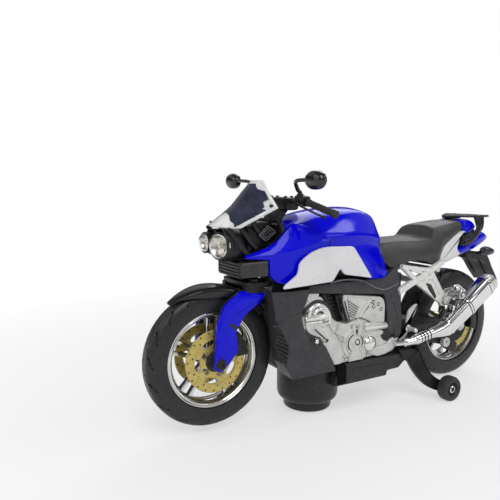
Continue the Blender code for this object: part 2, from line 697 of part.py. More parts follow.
def body_half(name, side):
    """One moulded half of the main body: hollow core, with the wide frame cover beneath the tank."""
    near, far = flip((0.15, CORE_HALF), side)
    half = prism(name, body_outline(), near, far)
    y0, y1 = flip((CORE_HALF - 3, FRAME_HALF), side)
    cover = prism(name + "_cover", [(43.0, 76.2), (41.8, COVER_TOP), (-6.0, COVER_TOP), (-15.5, COVER_TOP),
                                    (-24.6, 86.6), (-27.4, 81.0), (-27.0, 73.0), (-30.5, 54.0),
                                    (-30.5, 47.0), (-28.0, 43.6),
                                    (-21.0, 43.6), (-18.6, 47.0), (-18.5, 53.0), (-16.4, 67.0),
                                    (-15.0, 70.2), (16.6, 73.6)], y0, y1)
    soften(cover, 0.6, 1)
    join(half, cover)
    inner0, inner1 = flip((-1.0, CORE_HALF - WALL), side)
    pocket = [(CORE_REAR + 4.0, 42.0), (-28.0, 38.4), (19.0, 34.4), (24.8, 36.2), (41.4, 66.4),
              (40.4, 83.6), (FX - 38.0, 86.0),
              (FX - 33.5, FZ + 58.0), (FX - 40.0, 103.0), (20.0, 109.6), (2.0, 106.0), (-6.0, 88.6),
              (-10.5, 80.4), (-33.0, 79.0)]
    cut(half, prism(name + "_pocket", pocket, inner0, inner1))
    cut(half, rod(name + "_shaft_way", 3.6, 20, MOTOR_LOW, "Z", (POD_X - 10.2, 0, 0), 20))
    return paint(half, DARK, 0.5)


def engine(name, side):
    """Moulded engine relief: crankcase, cylinder block, starter barrel, alternator and clutch covers."""
    base = CORE_HALF + GAP
    y0, y1 = flip((base, ENGINE_HALF), side)
    case = prism(name, [(23.4, 31.6), (-22.6, 32.8), (-26.2, 36.0), (-20.0, 39.6), (-14.4, 41.6),
                        (-10.0, 49.6), (4.0, 57.0),
                        (16.0, 55.4), (24.0, 58.6), (29.5, 66.0), (33.0, 73.6), (42.4, 74.6), (45.2, 69.6),
                        (47.6, 63.6),
                        (45.6, 56.0), (34.2, 48.6), (31.6, 45.4)], y0, y1)
    b0, b1 = flip((base, ENGINE_HALF - 1.2), side)
    block = prism(name + "_block", [(15.6, 72.6), (-14.6, 69.2), (-15.9, 66.6), (-18.0, 53.0),
                                    (-18.0, 49.0), (-10.0, 46.0), (4.0, 48.0),
                                  (8.5, 55.0)], b0, b1)
    out = ENGINE_HALF * side
    barrel = rod(name + "_starter", 2.9, -17.63, 1.17, "X", (0, (ENGINE_HALF - 1.63) * side, 50.3), 16)
    pump = rod(name + "_pump", 2.1, 30.87, 46.13, "X", (0, (ENGINE_HALF - 0.73) * side, 62.17), 12)
    covers = []
    for x, z, r, r2, h in ((10.9, 43.63, 9.41, 4.2, 1.27), (-3.6, 41.43, 5.2, 2.6, 1.6),
                           (36.4, 66.4, 5.57, 2.3, 1.13)):
        profile = [(0, -2.11), (r, -2.11), (r, h), (r2, h), (r2, h + 1.0), (0, h + 1.0)]
        centre = (x, out, z)
        profile = [(q, t * side) for q, t in profile]
        covers.append(turn(name + "_cover" + str(len(covers)), profile, "Y", centre, 20))
    h0, h1 = flip((ENGINE_HALF - 1.9, ENGINE_HALF - 0.37), side)
    heel = prism(name + "_heel", [(-21.0, 36.6), (-27.5, 36.8), (-35.8, 42.6), (-36.8, 50.0), (-41.6, 55.2),
                                  (-43.6, 62.0),
                                  (-39.0, 60.8), (-34.6, 57.6), (-33.6, 52.0), (-33.8, 45.0), (-27.0, 41.2),
                                  (-21.7, 40.9)], h0, h1)
    p0, p1 = flip((ENGINE_HALF - 1.1, ENGINE_HALF + 6.7), side)
    peg = rod(name + "_peg", 1.37, p0, p1, "Y", (-35.2, 0, 46.3), 12)
    join(case, block, barrel, pump, heel, peg, *covers)
    return paint(case, SILVER, 0.35, 0.5)


def cowl():
    """The radiator cowl: a hollow wedge around the front wheel's rear, with vents low on each side."""
    outline = [(FX - 27.8, 79.2), (FX - 30.8, 60.0), (FX - 35.0, 38.0), (FX - 40.0, 29.6),
               (40.0, HOUSING_TOP + GAP + 0.6),
               (23.6, 28.6), (24.2, 31.0), (32.6, 45.0), (35.2, 48.2), (46.6, 55.4), (48.6, 63.4),
               (46.2, 69.6),
               (43.4, 75.6), (42.8, 79.2)]
    body = prism("radiator_cowl", outline, -COWL_HALF, COWL_HALF)
    taper = []
    for side in (-1, 1):
        rings = [[(x, COWL_HALF * side * 1.2, z), (x, (COWL_HALF - cutback) * side, z),
                  (x - 9, COWL_HALF * side * 1.2, z)]
                 for x, z, cutback in ((FX - 30, 24, 9), (FX - 22, 84, 9))]
        taper.append(loft("taper" + str(side), rings))
    hollow = [(FX - 30.0, 77.4), (FX - 33.0, 60.0), (FX - 37.0, 39.0), (FX - 41.4, 31.6), (40.0, 20.0),
              (20.0, 20.0),
              (20.0, 31.0), (26.4, 31.0), (34.4, 44.4), (36.6, 46.6), (48.2, 53.8), (50.4, 63.6),
              (48.4, 69.6), (45.2, 77.4)]
    hole = prism("cowl_hollow", hollow, -COWL_HALF + WALL + 1.2, COWL_HALF - WALL - 1.2)
    slot_r = FRONT_R + GUARD_GAP + GUARD_T + 1.2
    wheel_room = rod("cowl_slot", slot_r, -LEG_IN + 0.2, LEG_IN - 0.2, "Y", (FX, 0, FZ), 64)
    cut(body, *taper)
    cut(body, hole, wheel_room)
    vents = []
    for side in (-1, 1):
        for k in range(6):
            z = 38.6 + k * 3.4
            x = FX - 36.6 + k * 0.62
            a = Vector((x + 2.6, (COWL_HALF - 2.6) * side, z - 0.9))
            b = Vector((x - 2.4, (COWL_HALF + 0.6) * side, z + 0.6))
            vents.append(groove("vent" + str(side) + str(k), a, b, 1.3, 1.4))
    cut(body, *vents)
    return paint(body, DARK, 0.45)


# ---- belly, cells and switch ---------------------------------------------------------------------
def belly_pan():
    """The battery box under the engine, scooped out around the drive housing."""
    outline = [(24.0, PAN_BOTTOM), (-17.2, PAN_BOTTOM), (-18.0, 21.6), (-27.5, 21.8), (-34.0, 26.6),
               (-36.0, PAN_TOP), (21.0, PAN_TOP)]
    pan = prism("belly_pan", outline, -PAN_HALF, PAN_HALF)
    soften(pan, 0.6, 1)
    scoop = rod("pan_scoop", HOUSING_R + GAP + 0.1, 0, 60, "Z", (POD_X, 0, 0), 36)
    end = POD_X - HOUSING_R - GAP - 1.1
    length = 4 * CELL_R + 1.2
    pocket = box("pan_pocket", end - length, end, -CELL_LEN / 2 - 0.6, CELL_LEN / 2 + 0.6, 0, PAN_TOP - 0.9)
    seat = box("door_seat", end - length - 0.8, end + 0.5, -CELL_LEN / 2 - 1.4, CELL_LEN / 2 + 1.4, 0,
               PAN_BOTTOM + 0.9 + GAP)
    switch_room = box("switch_room", -25.5, -20.5, -5.6, 5.6, 0, 25.4)
    cut(pan, scoop, pocket, seat, switch_room)
    return paint(pan, BLACK, 0.5)


def battery_door():
    """The plate that closes the battery box from below."""
    end = POD_X - HOUSING_R - GAP - 1.1
    length = 4 * CELL_R + 1.2
    door = box("battery_door", end - length - 0.8 + GAP, end + 0.5 - GAP, -CELL_LEN / 2 - 1.4 + GAP,
               CELL_LEN / 2 + 1.4 - GAP,
               PAN_BOTTOM, PAN_BOTTOM + 0.9)
    return paint(door, BLACK, 0.5)


def cells():
    """Two small cells lying side to side."""
    end = POD_X - HOUSING_R - GAP - 1.1
    z = PAN_BOTTOM + 0.9 + GAP + CELL_R + 0.1
    for k in range(2):
        x = end - 0.3 - CELL_R - k * (2 * CELL_R + GAP)
        way = 1 if k == 0 else -1
        half = CELL_LEN / 2
        profile = [(0, -half), (CELL_R, -half), (CELL_R, half - 1.2), (1.9, half - 1.2), (1.9, half),
                   (0, half)]
        profile = [(r, t * way) for r, t in profile]
        paint(turn("battery_cell_" + str(k + 1), profile, "Y", (x, 0, z), 24), (0.5, 0.33, 0.05), 0.3, 0.6)


def power_switch():
    """The slide switch knob under the tail of the battery box."""
    knob = box("power_switch", -25.0, -21.0, -3.2, 0.8, 21.9, 25.0, (-23.0, -1.2, 23.4))
    ridge = box("switch_ridge", -24.2, -21.8, -1.9, -0.5, 20.9, 22.4)
    return paint(join(knob, ridge), (0.7, 0.7, 0.7), 0.5)


# ---- drive pod -----------------------------------------------------------------------------------
def pod_housing():
    """The fixed round housing the drive pod turns in."""
    r = HOUSING_R
    bore = POD_R + 0.6
    floor = POD_HIGH + GAP + 0.3
    profile = [(bore, HOUSING_LOW), (bore + 0.7, HOUSING_LOW), (r - 0.9, HOUSING_LOW + 1.4),
               (r, HOUSING_LOW + 3.6), (r, HOUSING_TOP),
               (r - 2.2, HOUSING_TOP), (r - 2.2, floor + 2.4), (4.4, floor + 2.4), (4.4, floor),
               (bore, floor)]
    return paint(turn("pod_housing", profile, "Z", (POD_X, 0, 0), 36, True), BLACK, 0.45)


def drive_pod():
    """The turning pod: a shallow cup with a pivot pin on top and open slots below for the drive wheels."""
    high = POD_HIGH
    profile = [(0, 1.0), (POD_R - 1.2, 1.0), (POD_R, 2.0), (POD_R, high), (4.1, high), (4.1, high + 7.6),
               (0, high + 7.6)]
    pod = turn("drive_pod", profile, "Z", (POD_X, 0, 0), 36)
    z = DRIVE_R
    rooms = []
    for side in (-1, 1):
        y0, y1 = flip((DRIVE_Y - DRIVE_W / 2 - 0.6, DRIVE_Y + DRIVE_W / 2 + 0.6), side)
        rooms.append(rod("wheel_room" + str(side), DRIVE_R + 0.8, y0, y1, "Y", (POD_X, 0, z), 20))
        rooms.append(box("wheel_mouth" + str(side), POD_X - DRIVE_R - 0.8, POD_X + DRIVE_R + 0.8, y0, y1,
                         -1, z))
    rooms.append(rod("gear_room", 5.6, -2.4, 2.4, "Y", (POD_X, 0, z), 20))
    rooms.append(box("axle_way", POD_X - 1.4, POD_X + 1.4, -DRIVE_Y - 4.4, DRIVE_Y + 4.4, -1, z))
    rooms.append(rod("axle_seat", 1.4, -DRIVE_Y - 4.4, DRIVE_Y + 4.4, "Y", (POD_X, 0, z), 20))
    cut(pod, *rooms)
    return paint(pod, BLACK, 0.45)


def drive_set():
    """Steel axle with its gear, and the two rubber drive wheels on it."""
    z = DRIVE_R
    axle = rod("drive_axle", 1.1, -DRIVE_Y - 4.0, DRIVE_Y + 4.0, "Y", (POD_X, 0, z), 20)
    gear = gear_disc("drive_gear", 4.2, 5.1, 14, 1.6, (POD_X, 0, z))
    paint(join(axle, gear), CHROME, 0.3, 0.9)
    for name, side in (("drive_wheel_left", 1), ("drive_wheel_right", -1)):
        half = DRIVE_W / 2
        r = DRIVE_R
        mid = DRIVE_Y * side
        profile = [(1.1 + GAP, mid - half), (r - 0.6, mid - half), (r, mid - half + 0.6),
                   (r, mid + half - 0.6),
                   (r - 0.6, mid + half), (1.1 + GAP, mid + half)]
        paint(turn(name, profile, "Y", (POD_X, 0, z), 28, True), BLACK, 0.85)


def gear_disc(name, root, tip, teeth, half, centre):
    """A spur gear as a toothed outline pushed through."""
    outline = []
    for k in range(teeth):
        for part, r in ((0.0, root), (0.22, tip), (0.5, tip), (0.72, root)):
            a = 2 * math.pi * (k + part) / teeth
            outline.append((centre[0] + r * math.cos(a), centre[2] + r * math.sin(a)))
    return prism(name, outline, -half, half, centre)


def drive_motor():
    """The small can motor standing in the body, its shaft and pinion reaching down into the pod housing."""
    x = POD_X - 10.2
    low = POD_HIGH + 5.2
    profile = [(0, low), (2.2, low), (2.2, low + 3.8), (0.9, low + 3.8), (0.9, MOTOR_LOW - 1.4),
               (3.0, MOTOR_LOW - 1.4),
               (3.0, MOTOR_LOW), (8.2, MOTOR_LOW), (8.2, MOTOR_LOW + 20.0), (0, MOTOR_LOW + 20.0)]
    can = turn("drive_motor", profile, "Z", (x, 0, 0), 20)
    flats = [box("motor_flat" + str(side), x - 12, x + 12, *flip((6.6, 12), side), 10, 90) for side in (-1,
                                                                                                        1)]
    cut(can, *flats)
    return paint(can, SILVER, 0.3, 0.8)


# ---- seat and tail -------------------------------------------------------------------------------
def seat_ring(x, crown, edge, edge_half, mid, mid_half, low, low_half):
    """One cross-section of the seat."""
    side = [(0, crown), (edge_half * 0.6, crown - (crown - edge) * 0.3), (edge_half, edge), (mid_half, mid),
            (low_half, low)]
    return [(x, y, z) for y, z in side] + [(x, -y, z) for y, z in reversed(side[1:])]


def seat():
    """Two-level seat moulded as one dark piece."""
    rows = [(-18.9, 101.6, 100.8, 14.0, 95.0, 17.6, 88.9, 19.0), (-23.0, 101.8, 101.2, 15.0, 95.0, 19.4,
                                                                  88.0, 20.4),
            (-32.0, 101.6, 101.4, 15.6, 95.0, 20.6, 85.2, 21.0), (-46.0, 102.2, 101.4, 16.2, 95.0, 21.0,
                                                                  84.8, 21.0),
            (-60.5, 103.2, 101.4, 16.4, 94.0, 20.4, 84.4, 20.3), (-63.8, 110.4, 108.6, 14.2, 98.0, 18.2,
                                                                  84.4, 19.6),
            (-76.0, 111.6, 109.8, 13.4, 102.0, 16.0, 97.2, 16.6), (-88.0, 112.5, 110.9, 11.5, 106.0, 13.6,
                                                                   103.0, 14.0),
            (-101.5, 112.9, 111.6, 8.5, 109.8, 10.0, 108.2, 10.4)]
    body = loft("seat", [seat_ring(*row) for row in rows])
    arch = prism("seat_arch", [(-34, 80), (-59, 80), (-57.5, 85.4), (-53.0, 88.2), (-45.0, 88.4),
                               (-37.0, 86.4)], -40, 40)
    cut(body, arch)
    return paint(body, (0.055, 0.052, 0.05), 0.6)


def subframe():
    """Silver side trusses tied by two cross tubes."""
    pieces = []
    for side in (-1, 1):
        y0, y1 = flip((21.0, 24.4), side)
        bar = [(-31.0, 69.4), (-31.0, 72.9), (-63.8, 87.3), (-65.8, 84.7)]
        pieces.append(prism("truss_bar" + str(side), bar, y0, y1))
        plate = prism("truss_plate" + str(side), [(-28.6, 84.6), (-28.3, 87.3), (-52.4, 84.2),
                                                  (-54.4, 80.0), (-67.4, 62.6), (-71.6, 60.4),
                                                  (-70.2, 54.8), (-66.6, 55.6), (-40.8, 75.4)], y0, y1)
        windows = [[(-34.0, 84.3), (-47.0, 82.6), (-46.2, 80.6), (-41.6, 78.8)],
                   [(-49.4, 75.0), (-52.6, 75.6), (-61.4, 64.0), (-59.0, 62.8)]]
        for k, window in enumerate(windows):
            cut(plate, prism("truss_window" + str(side) + str(k), window, -40, 40))
        pieces.append(plate)
        p0, p1 = flip((22.9, 36.9), side)
        pieces.append(rod("rear_peg" + str(side), 1.6, p0, p1, "Y", (-70.6, 0, 66.0), 12))
        pieces.append(prism("peg_arm" + str(side), [(-65.6, 61.4), (-67.4, 59.0), (-72.9, 66.4),
                                                    (-70.4, 68.4)], *flip((21.3, 24.1), side)))
    truss = rod("subframe", 2.0, -22.6, 22.6, "Y", (-43.6, 0, 75.8), 12, (0, 0, 0))
    tie = rod("truss_tie", 1.6, -22.6, 22.6, "Y", (-62.0, 0, 81.9), 12)
    join(truss, tie, *pieces)
    return paint(truss, SILVER, 0.3, 0.7)


def tail_shell():
    """Pale tail side pieces that narrow down to the rails."""
    outline = [(-68.5, 85.6), (-72.0, 90.8), (-86.5, 100.6), (-94.8, 104.6), (-91.6, 100.4), (-88.4, 93.4),
               (-90.0, 89.6),
               (-80.0, 86.2), (-71.4, 83.6)]
    shell = prism("tail_shell", outline, -15.4, 15.4)
    return paint(shell, PEARL, 0.3)


def tail_ring(x, top, low, half):
    """One cross-section of the blue tail."""
    mid = (top + low) / 2
    return [(x, 0, top), (x, half * 0.7, top - 0.6), (x, half, mid + 0.6), (x, half * 0.9, low + 0.4),
            (x, 0, low),
            (x, -half * 0.9, low + 0.4), (x, -half, mid + 0.6), (x, -half * 0.7, top - 0.6)]


def tail_cowl():
    """Blue tail end that rises behind the seat and runs out to a blunt beak."""
    rows = [(-88.4, 92.0, 89.6, 15.8), (-92.0, 101.0, 88.8, 15.4), (-96.0, 104.9, 88.4, 14.8),
            (-100.0, 106.6, 88.2, 14.2),
            (-102.0, 107.2, 88.5, 13.4), (-104.0, 111.8, 89.0, 12.6), (-112.0, 111.6, 90.0, 12.0),
            (-117.5, 105.6, 91.4, 11.5),
            (-124.5, 104.6, 93.4, 10.0), (-130.6, 100.6, 96.6, 7.5)]
    body = loft("tail_cowl", [tail_ring(*row) for row in rows])
    keep = prism("tail_room", [(-80, 80), (-80, 120), (-95.6, 120), (-95.3, 104.5), (-92.0, 100.2),
                               (-88.8, 93.3), (-90.4, 89.3), (-80, 85.7)],
                 -30, 30)
    cut(body, keep)
    return paint(body, BLUE, 0.15)


def grab_rail():
    """Black rack over the seat's tail, on two side struts."""
    outline = [(-94.0, 3.2), (-99.5, 6.2), (-107.5, 13.4), (-110.5, 14.6), (-120.6, 14.6)]
    plan = outline + [(x, -y) for x, y in reversed(outline)]
    rail = loft("grab_rail", [[(x, y, z) for x, y in plan] for z in (114.0, 115.6)])
    window = [(-103.5, 3.4), (-109.0, 8.6), (-116.6, 8.6)]
    plan = window + [(x, -y) for x, y in reversed(window)]
    hole = loft("rack_window", [[(x, y, z) for x, y in plan] for z in (110, 120)])
    parts = [box("rack_foot", -98.5, -94.4, -3.0, 3.0, 113.3, 114.8)]
    for side in (-1, 1):
        path = [(-115.0, 13.4 * side, 115.0), (-114.0, 14.2 * side, 111.0), (-109.6, 15.6 * side, 105.6),
                (-101.8, 17.8 * side, 100.4),
                (-95.0, 18.0 * side, 98.6), (-91.0, 18.0 * side, 100.8)]
        parts.append(sweep("strut" + str(side), path, [2.4, 2.2, 1.9, 1.9, 2.0, 1.7], 8))
    join(rail, *parts)
    cut(rail, hole)
    return paint(rail, BLACK, 0.45)


def rear_mudguard():
    """The sloping plate under the tail, with a round turn lamp pod on each side."""
    plate = prism("rear_mudguard", [(-112.0, 89.7), (-127.0, 86.6), (-141.6, 66.4), (-139.6, 65.2),
                                    (-124.6, 82.4),
                                    (-106.0, 84.4), (-104.0, 88.6)], -10.0, 10.0)
    soften(plate, 0.5, 1)
    pods = []
    for side in (-1, 1):
        profile = [(0, -7.4), (1.5, -5.6), (2.8, -2.4), (3.1, 0.2), (2.5, 3.0), (0, 5.2)]
        pods.append(turn("lamp" + str(side), profile, "X", (-119.6, 16.0 * side, 89.6), 20))
        pods.append(rod("stalk" + str(side), 1.4, 7.0, 15.0, "Y", (-119.5, 0, 87.4), 12))
        if side < 0:
            pods[-1].rotation_euler = (0, 0, math.pi)
    join(plate, *pods)
    return paint(plate, BLACK, 0.4)


# ---- rear end ------------------------------------------------------------------------------------
def swingarm():
    """Black H-shaped swinging arm from the pivot to the rear axle."""
    inner = REAR_TYRE_W / 2 + 1.6
    arms = []
    front = RX + REAR_R + 3.0
    pivot = CORE_REAR - GAP
    for side in (-1, 1):
        y0, y1 = flip((inner, inner + 3.8), side)
        arms.append(prism("arm" + str(side), [(RX - 4.5, RZ - 3.4), (RX + 1, RZ - 4.6),
                                              (front - 4, RZ + 2.0),
                                              (pivot - 0.2, RZ + 1.0), (pivot - 0.2, RZ + 11.0),
                                              (front - 4, RZ + 10.6),
                                              (RX, RZ + 4.6), (RX - 4.5, RZ + 3.0)], y0, y1))
    body = box("swingarm", front, pivot, -inner - 2.0, inner + 2.0, RZ + 1.2, RZ + 10.8)
    join(body, *arms)
    cut(body, rod("arm_eye", AXLE_R + GAP, -40, 40, "Y", (RX, 0, RZ), 24))
    return paint(body, BLACK, 0.5)


def rear_axle():
    """Rear axle with a nut at each end."""
    out = REAR_TYRE_W / 2 + 1.6 + 3.8
    profile = [(0, -out - 2.4), (3.0, -out - 2.4), (3.0, -out - GAP), (AXLE_R, -out - GAP),
               (AXLE_R, out + GAP), (3.0, out + GAP),
               (3.0, out + 2.4), (0, out + 2.4)]
    return paint(turn("rear_axle", profile, "Y", (RX, 0, RZ), 24), SILVER, 0.3, 0.8)


def rear_caliper():
    """Rear caliper under the left arm, with a round pot cap and its tie bar."""
    face = REAR_TYRE_W / 2 - 0.3
    c = Vector((RX, 0, RZ))
    ring = []
    for r, a in ((12.0, -58), (18.8, -56), (20.2, -42), (20.2, -28), (18.8, -14), (12.0, -14)):
        t = math.radians(a)
        ring.append((c.x + r * math.cos(t), c.z + r * math.sin(t)))
    body = prism("rear_caliper", ring, face + DISC_T + GAP, face + DISC_T + 6.2)
    pot = rod("caliper_pot", 3.4, face + DISC_T + 5, face + DISC_T + 7.6, "Y", (RX + 13.4, 0, RZ - 9.6), 20)
    tie = prism("caliper_tie", [(RX + 16, RZ - 12), (RX + 17, RZ - 7.0), (RX + 36, RZ - 2.6),
                                (RX + 37, RZ - 6.0)], face + DISC_T + 2.0, face + DISC_T + 5.2)
    join(body, tie, pot)
    return paint(body, BLACK, 0.5)


def exhaust_path():
    """Axis of the exhaust from the engine to the muffler's end."""
    port = ENGINE_HALF + GAP + PORT_R
    return [Vector((-21.0, port, 39.2)), Vector((-33.0, MUFFLER_Y, 39.5)), Vector((-51.0, MUFFLER_Y, 42.6)),
            Vector((-64.5, MUFFLER_Y, 44.5)), Vector((-102.1, MUFFLER_Y, 69.0))]


def oval_ring(centre, along, tall, wide, n=20, power=0.8):
    """A soft-cornered ring around an axis in the side plane."""
    along = along.normalized()
    side = Vector((0, 1, 0))
    up = along.cross(side).normalized()
    if up.z < 0:
        up = -up
    ring = []
    for k in range(n):
        a = 2 * math.pi * k / n
        cy, cz = math.cos(a), math.sin(a)
        y = math.copysign(abs(cy) ** power, cy) * wide / 2
        z = math.copysign(abs(cz) ** power, cz) * tall / 2
        ring.append(centre + side * y + up * z)
    return ring


def exhaust_pipe():
    """Link pipe with a ribbed sleeve, ending in the cone that meets the muffler."""
    p = exhaust_path()
    stations = [(p[0], 2 * PORT_R), (p[1], 2 * PORT_R + 0.2), (p[1] * 0.85 + p[2] * 0.15, 2 * PORT_R + 0.3)]
    for k in range(5):
        f = 0.19 + k * 0.15
        stations.append((p[1] * (1 - f) + p[2] * f, SLEEVE_D))
        stations.append((p[1] * (1 - f - 0.07) + p[2] * (f + 0.07), SLEEVE_D - 1.3))
    stations.append((p[2], SLEEVE_D + 0.2))
    rings = []
    for i, (c, d) in enumerate(stations):
        along = p[1] - p[0] if i < 1 else p[2] - p[1]
        rings.append(oval_ring(c, along, d, d, 16, 1.0))
    along = (p[4] - p[3]).normalized()
    rings.append(oval_ring(p[3] - along * 0.4, along, MUFFLER_TALL * 0.74, MUFFLER_WIDE * 0.74, 16))
    return paint(loft("exhaust_pipe", rings), CHROME, 0.12, 1.0)


def muffler():
    """Muffler can that swells towards its slanted end cap, with two bands, a hanger lug and an oval outlet."""
    p = exhaust_path()
    along = (p[4] - p[3]).normalized()
    length = (p[4] - p[3]).length
    band = length * 0.47
    marks = [(0.0, 0.79), (1.4, 0.83), (1.5, 0.8), (band, 0.93), (band + 0.1, 0.99), (band + 2.6, 0.99),
             (band + 2.7, 0.93),
             (length - 0.1, 1.0), (length, 0.96)]
    rings = [oval_ring(p[3] + along * t, along, MUFFLER_TALL * s, MUFFLER_WIDE * s, 18) for t, s in marks]
    end = p[4] + Vector((-8.6, 0, 0.4))
    rings.append(oval_ring(p[4] + Vector((-4.6, 0, 2.2)), (along + Vector((-1, 0, 0))), MUFFLER_TALL * 0.82,
                           MUFFLER_WIDE * 0.84, 18))
    rings.append(oval_ring(end, Vector((-1, 0, 0.1)), MUFFLER_TALL * 0.54, MUFFLER_WIDE * 0.6, 18))
    body = loft("muffler", rings)
    hole = loft("muffler_hole", [oval_ring(end + Vector((t, 0, 0)), Vector((-1, 0, 0.1)), 5.0, 3.8, 14,
                                           1.0) for t in (4.0, -3.0)])
    cut(body, hole)
    lug = prism("muffler_lug", [(-67.2, 49.0), (-72.4, 52.0), (-71.6, 58.2), (-69.0, 58.4)],
                FRAME_HALF + 1.7, MUFFLER_Y + 1.0)
    join(body, lug)
    return paint(body, CHROME, 0.1, 1.0)


def outrigger_frame():
    """Black carrier under the belly with a broad curved arm down to each small wheel."""
    z = CASTER_R
    pivot_in = CASTER_Y - CASTER_W / 2 - 0.5
    plate = box("outrigger_frame", -44.0, -36.1, -22.0, 22.0, 27.4, 33.6)
    parts = []
    for side in (-1, 1):
        path = [(-40.3, 20.0 * side, 30.6), (-40.6, 25.0 * side, 27.6), (-42.0, 28.6 * side, 21.0),
                (-46.0, 31.4 * side, 14.0),
                (-52.0, 33.4 * side, 9.4), (ARM_X, (pivot_in - 1.6) * side, z)]
        rings = []
        for i, q in enumerate(path):
            a = Vector(path[max(i - 1, 0)])
            b = Vector(path[min(i + 1, 5)])
            along = (b - a).normalized()
            flat = Vector((0.25, 0.95 * side, 0.1)).normalized()
            wide = along.cross(flat).normalized()
            flat = wide.cross(along).normalized()
            w = (4.2, 4.2, 4.0, 3.8, 3.4, 3.0)[i]
            rings.append([Vector(q) + wide * w * u + flat * 1.5 * v for u,
                          v in ((1, 0.6), (0.6, 1), (-0.6, 1), (-1, 0.6), (-1, -0.6), (-0.6, -1),
                                                                                 (0.6, -1), (1, -0.6))])
        parts.append(loft("outrigger" + str(side), rings))
        boss = rod("caster_boss" + str(side), 3.0, pivot_in - 3.4, pivot_in, "Y", (ARM_X, 0, z), 20)
        pin = rod("caster_pin" + str(side), 1.3, pivot_in - 1.0, CASTER_Y + CASTER_W / 2 - 0.9, "Y",
                  (ARM_X, 0, z), 16)
        if side < 0:
            boss.rotation_euler = (0, 0, math.pi)
            pin.rotation_euler = (0, 0, math.pi)
        parts += [boss, pin]
    join(plate, *parts)
    return paint(plate, BLACK, 0.5)


def caster(name, side):
    """One small outrigger wheel with a recessed hub."""
    half = CASTER_W / 2
    r = CASTER_R
    mid = CASTER_Y
    profile = [(1.3 + GAP, mid - half), (r - 1.4, mid - half), (r, mid - half + 1.4), (r, mid + half - 1.4),
               (r - 1.2, mid + half),
               (r - 3.4, mid + half), (r - 3.8, mid + half - 1.6), (2.9, mid + half - 1.6),
               (2.9, mid + half - 0.6), (1.3 + GAP, mid + half - 0.6)]
    profile = [(q, t * side) for q, t in profile]
    return paint(turn(name, profile, "Y", (ARM_X, 0, r), 28, True, (ARM_X, mid * side, r)), BLACK, 0.8)


def build():
    """Makes every piece."""
    start_empty()
    front_wheel()
    rear_wheel()
    front_axle()
    for word, side in (("left", 1), ("right", -1)):
        fork_leg("fork_leg_" + word, side)
        front_caliper("front_caliper_" + word, side)
        nose_cheek("nose_cheek_" + word, side)
        grip("grip_" + word, side)
        mirror("mirror_" + word, side)
        side_panel("side_panel_" + word, side)
        body_half("body_half_" + word, side)
        engine("engine_" + word, side)
        caster("outrigger_wheel_" + word, side)
    mudguard()
    fork_bridge()
    nose_grille()
    headlight()
    windscreen()
    instrument_pod()
    handlebar()
    tank()
    cowl()
    belly_pan()
    battery_door()
    cells()
    power_switch()
    pod_housing()
    drive_pod()
    drive_set()
    drive_motor()
    seat()
    subframe()
    tail_shell()
    tail_cowl()
    grab_rail()
    rear_mudguard()
    swingarm()
    rear_axle()
    rear_caliper()
    exhaust_pipe()
    muffler()
    outrigger_frame()


build()
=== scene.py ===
import math

import bmesh
import bpy
import numpy as np
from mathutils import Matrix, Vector


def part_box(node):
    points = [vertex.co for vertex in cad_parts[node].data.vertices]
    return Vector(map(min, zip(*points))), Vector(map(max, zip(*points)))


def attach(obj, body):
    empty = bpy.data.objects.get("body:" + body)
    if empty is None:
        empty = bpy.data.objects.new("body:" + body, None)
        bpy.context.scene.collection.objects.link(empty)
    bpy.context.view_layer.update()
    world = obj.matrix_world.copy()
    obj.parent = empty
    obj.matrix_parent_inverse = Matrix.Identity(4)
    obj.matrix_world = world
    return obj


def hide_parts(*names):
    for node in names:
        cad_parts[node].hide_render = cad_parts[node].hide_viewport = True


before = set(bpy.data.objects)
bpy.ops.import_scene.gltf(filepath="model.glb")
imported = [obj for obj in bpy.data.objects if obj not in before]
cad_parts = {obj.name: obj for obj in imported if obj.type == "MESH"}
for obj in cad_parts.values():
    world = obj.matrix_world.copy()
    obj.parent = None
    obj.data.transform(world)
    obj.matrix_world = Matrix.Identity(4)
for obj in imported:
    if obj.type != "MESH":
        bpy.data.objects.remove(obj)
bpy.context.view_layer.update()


# ---- tyres ----
# Two hollow moulded vinyl tyres pressed over the rims: a round crown with slanting tread cuts that
# run out over the shoulders, with a near-black ring under them as painted shade in the cuts, a plain
# wall with two fine raised lines, and a bead behind the rim lip.

def middle(node):
    """Middle of a solid's box, in metres."""
    low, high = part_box(node)
    return (np.array(low) + np.array(high)) / 2


def half_size(node):
    """Half of a solid's box, in millimetres."""
    low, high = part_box(node)
    return (np.array(high) - np.array(low)) / 2 * 1000


ORIGIN = (middle("front_tyre") + middle("rear_tyre")) / 2 * np.array((1, 0, 0))
MM = 0.001  # one millimetre in metres
MERGE = 2e-6  # points closer than this, in metres, become one
SIDES = (("left", 1), ("right", -1))


def place(node):
    """Middle of a solid's box in millimetres from the point between the wheels."""
    return (middle(node) - ORIGIN) * 1000


def circle(count):
    """Evenly spread angles once round."""
    return np.arange(count) * 2 * np.pi / count


def soft(values, power):
    """Signed power: the sign of the values times their size raised to the power."""
    return np.sign(values) * np.abs(values) ** power


def unit(vectors):
    """Vectors divided by their lengths."""
    return vectors / np.linalg.norm(vectors, axis=-1, keepdims=True)


def grid(x, y, z):
    """Points whose three parts are spread over one common shape."""
    return np.stack(np.broadcast_arrays(x, y, z), -1)


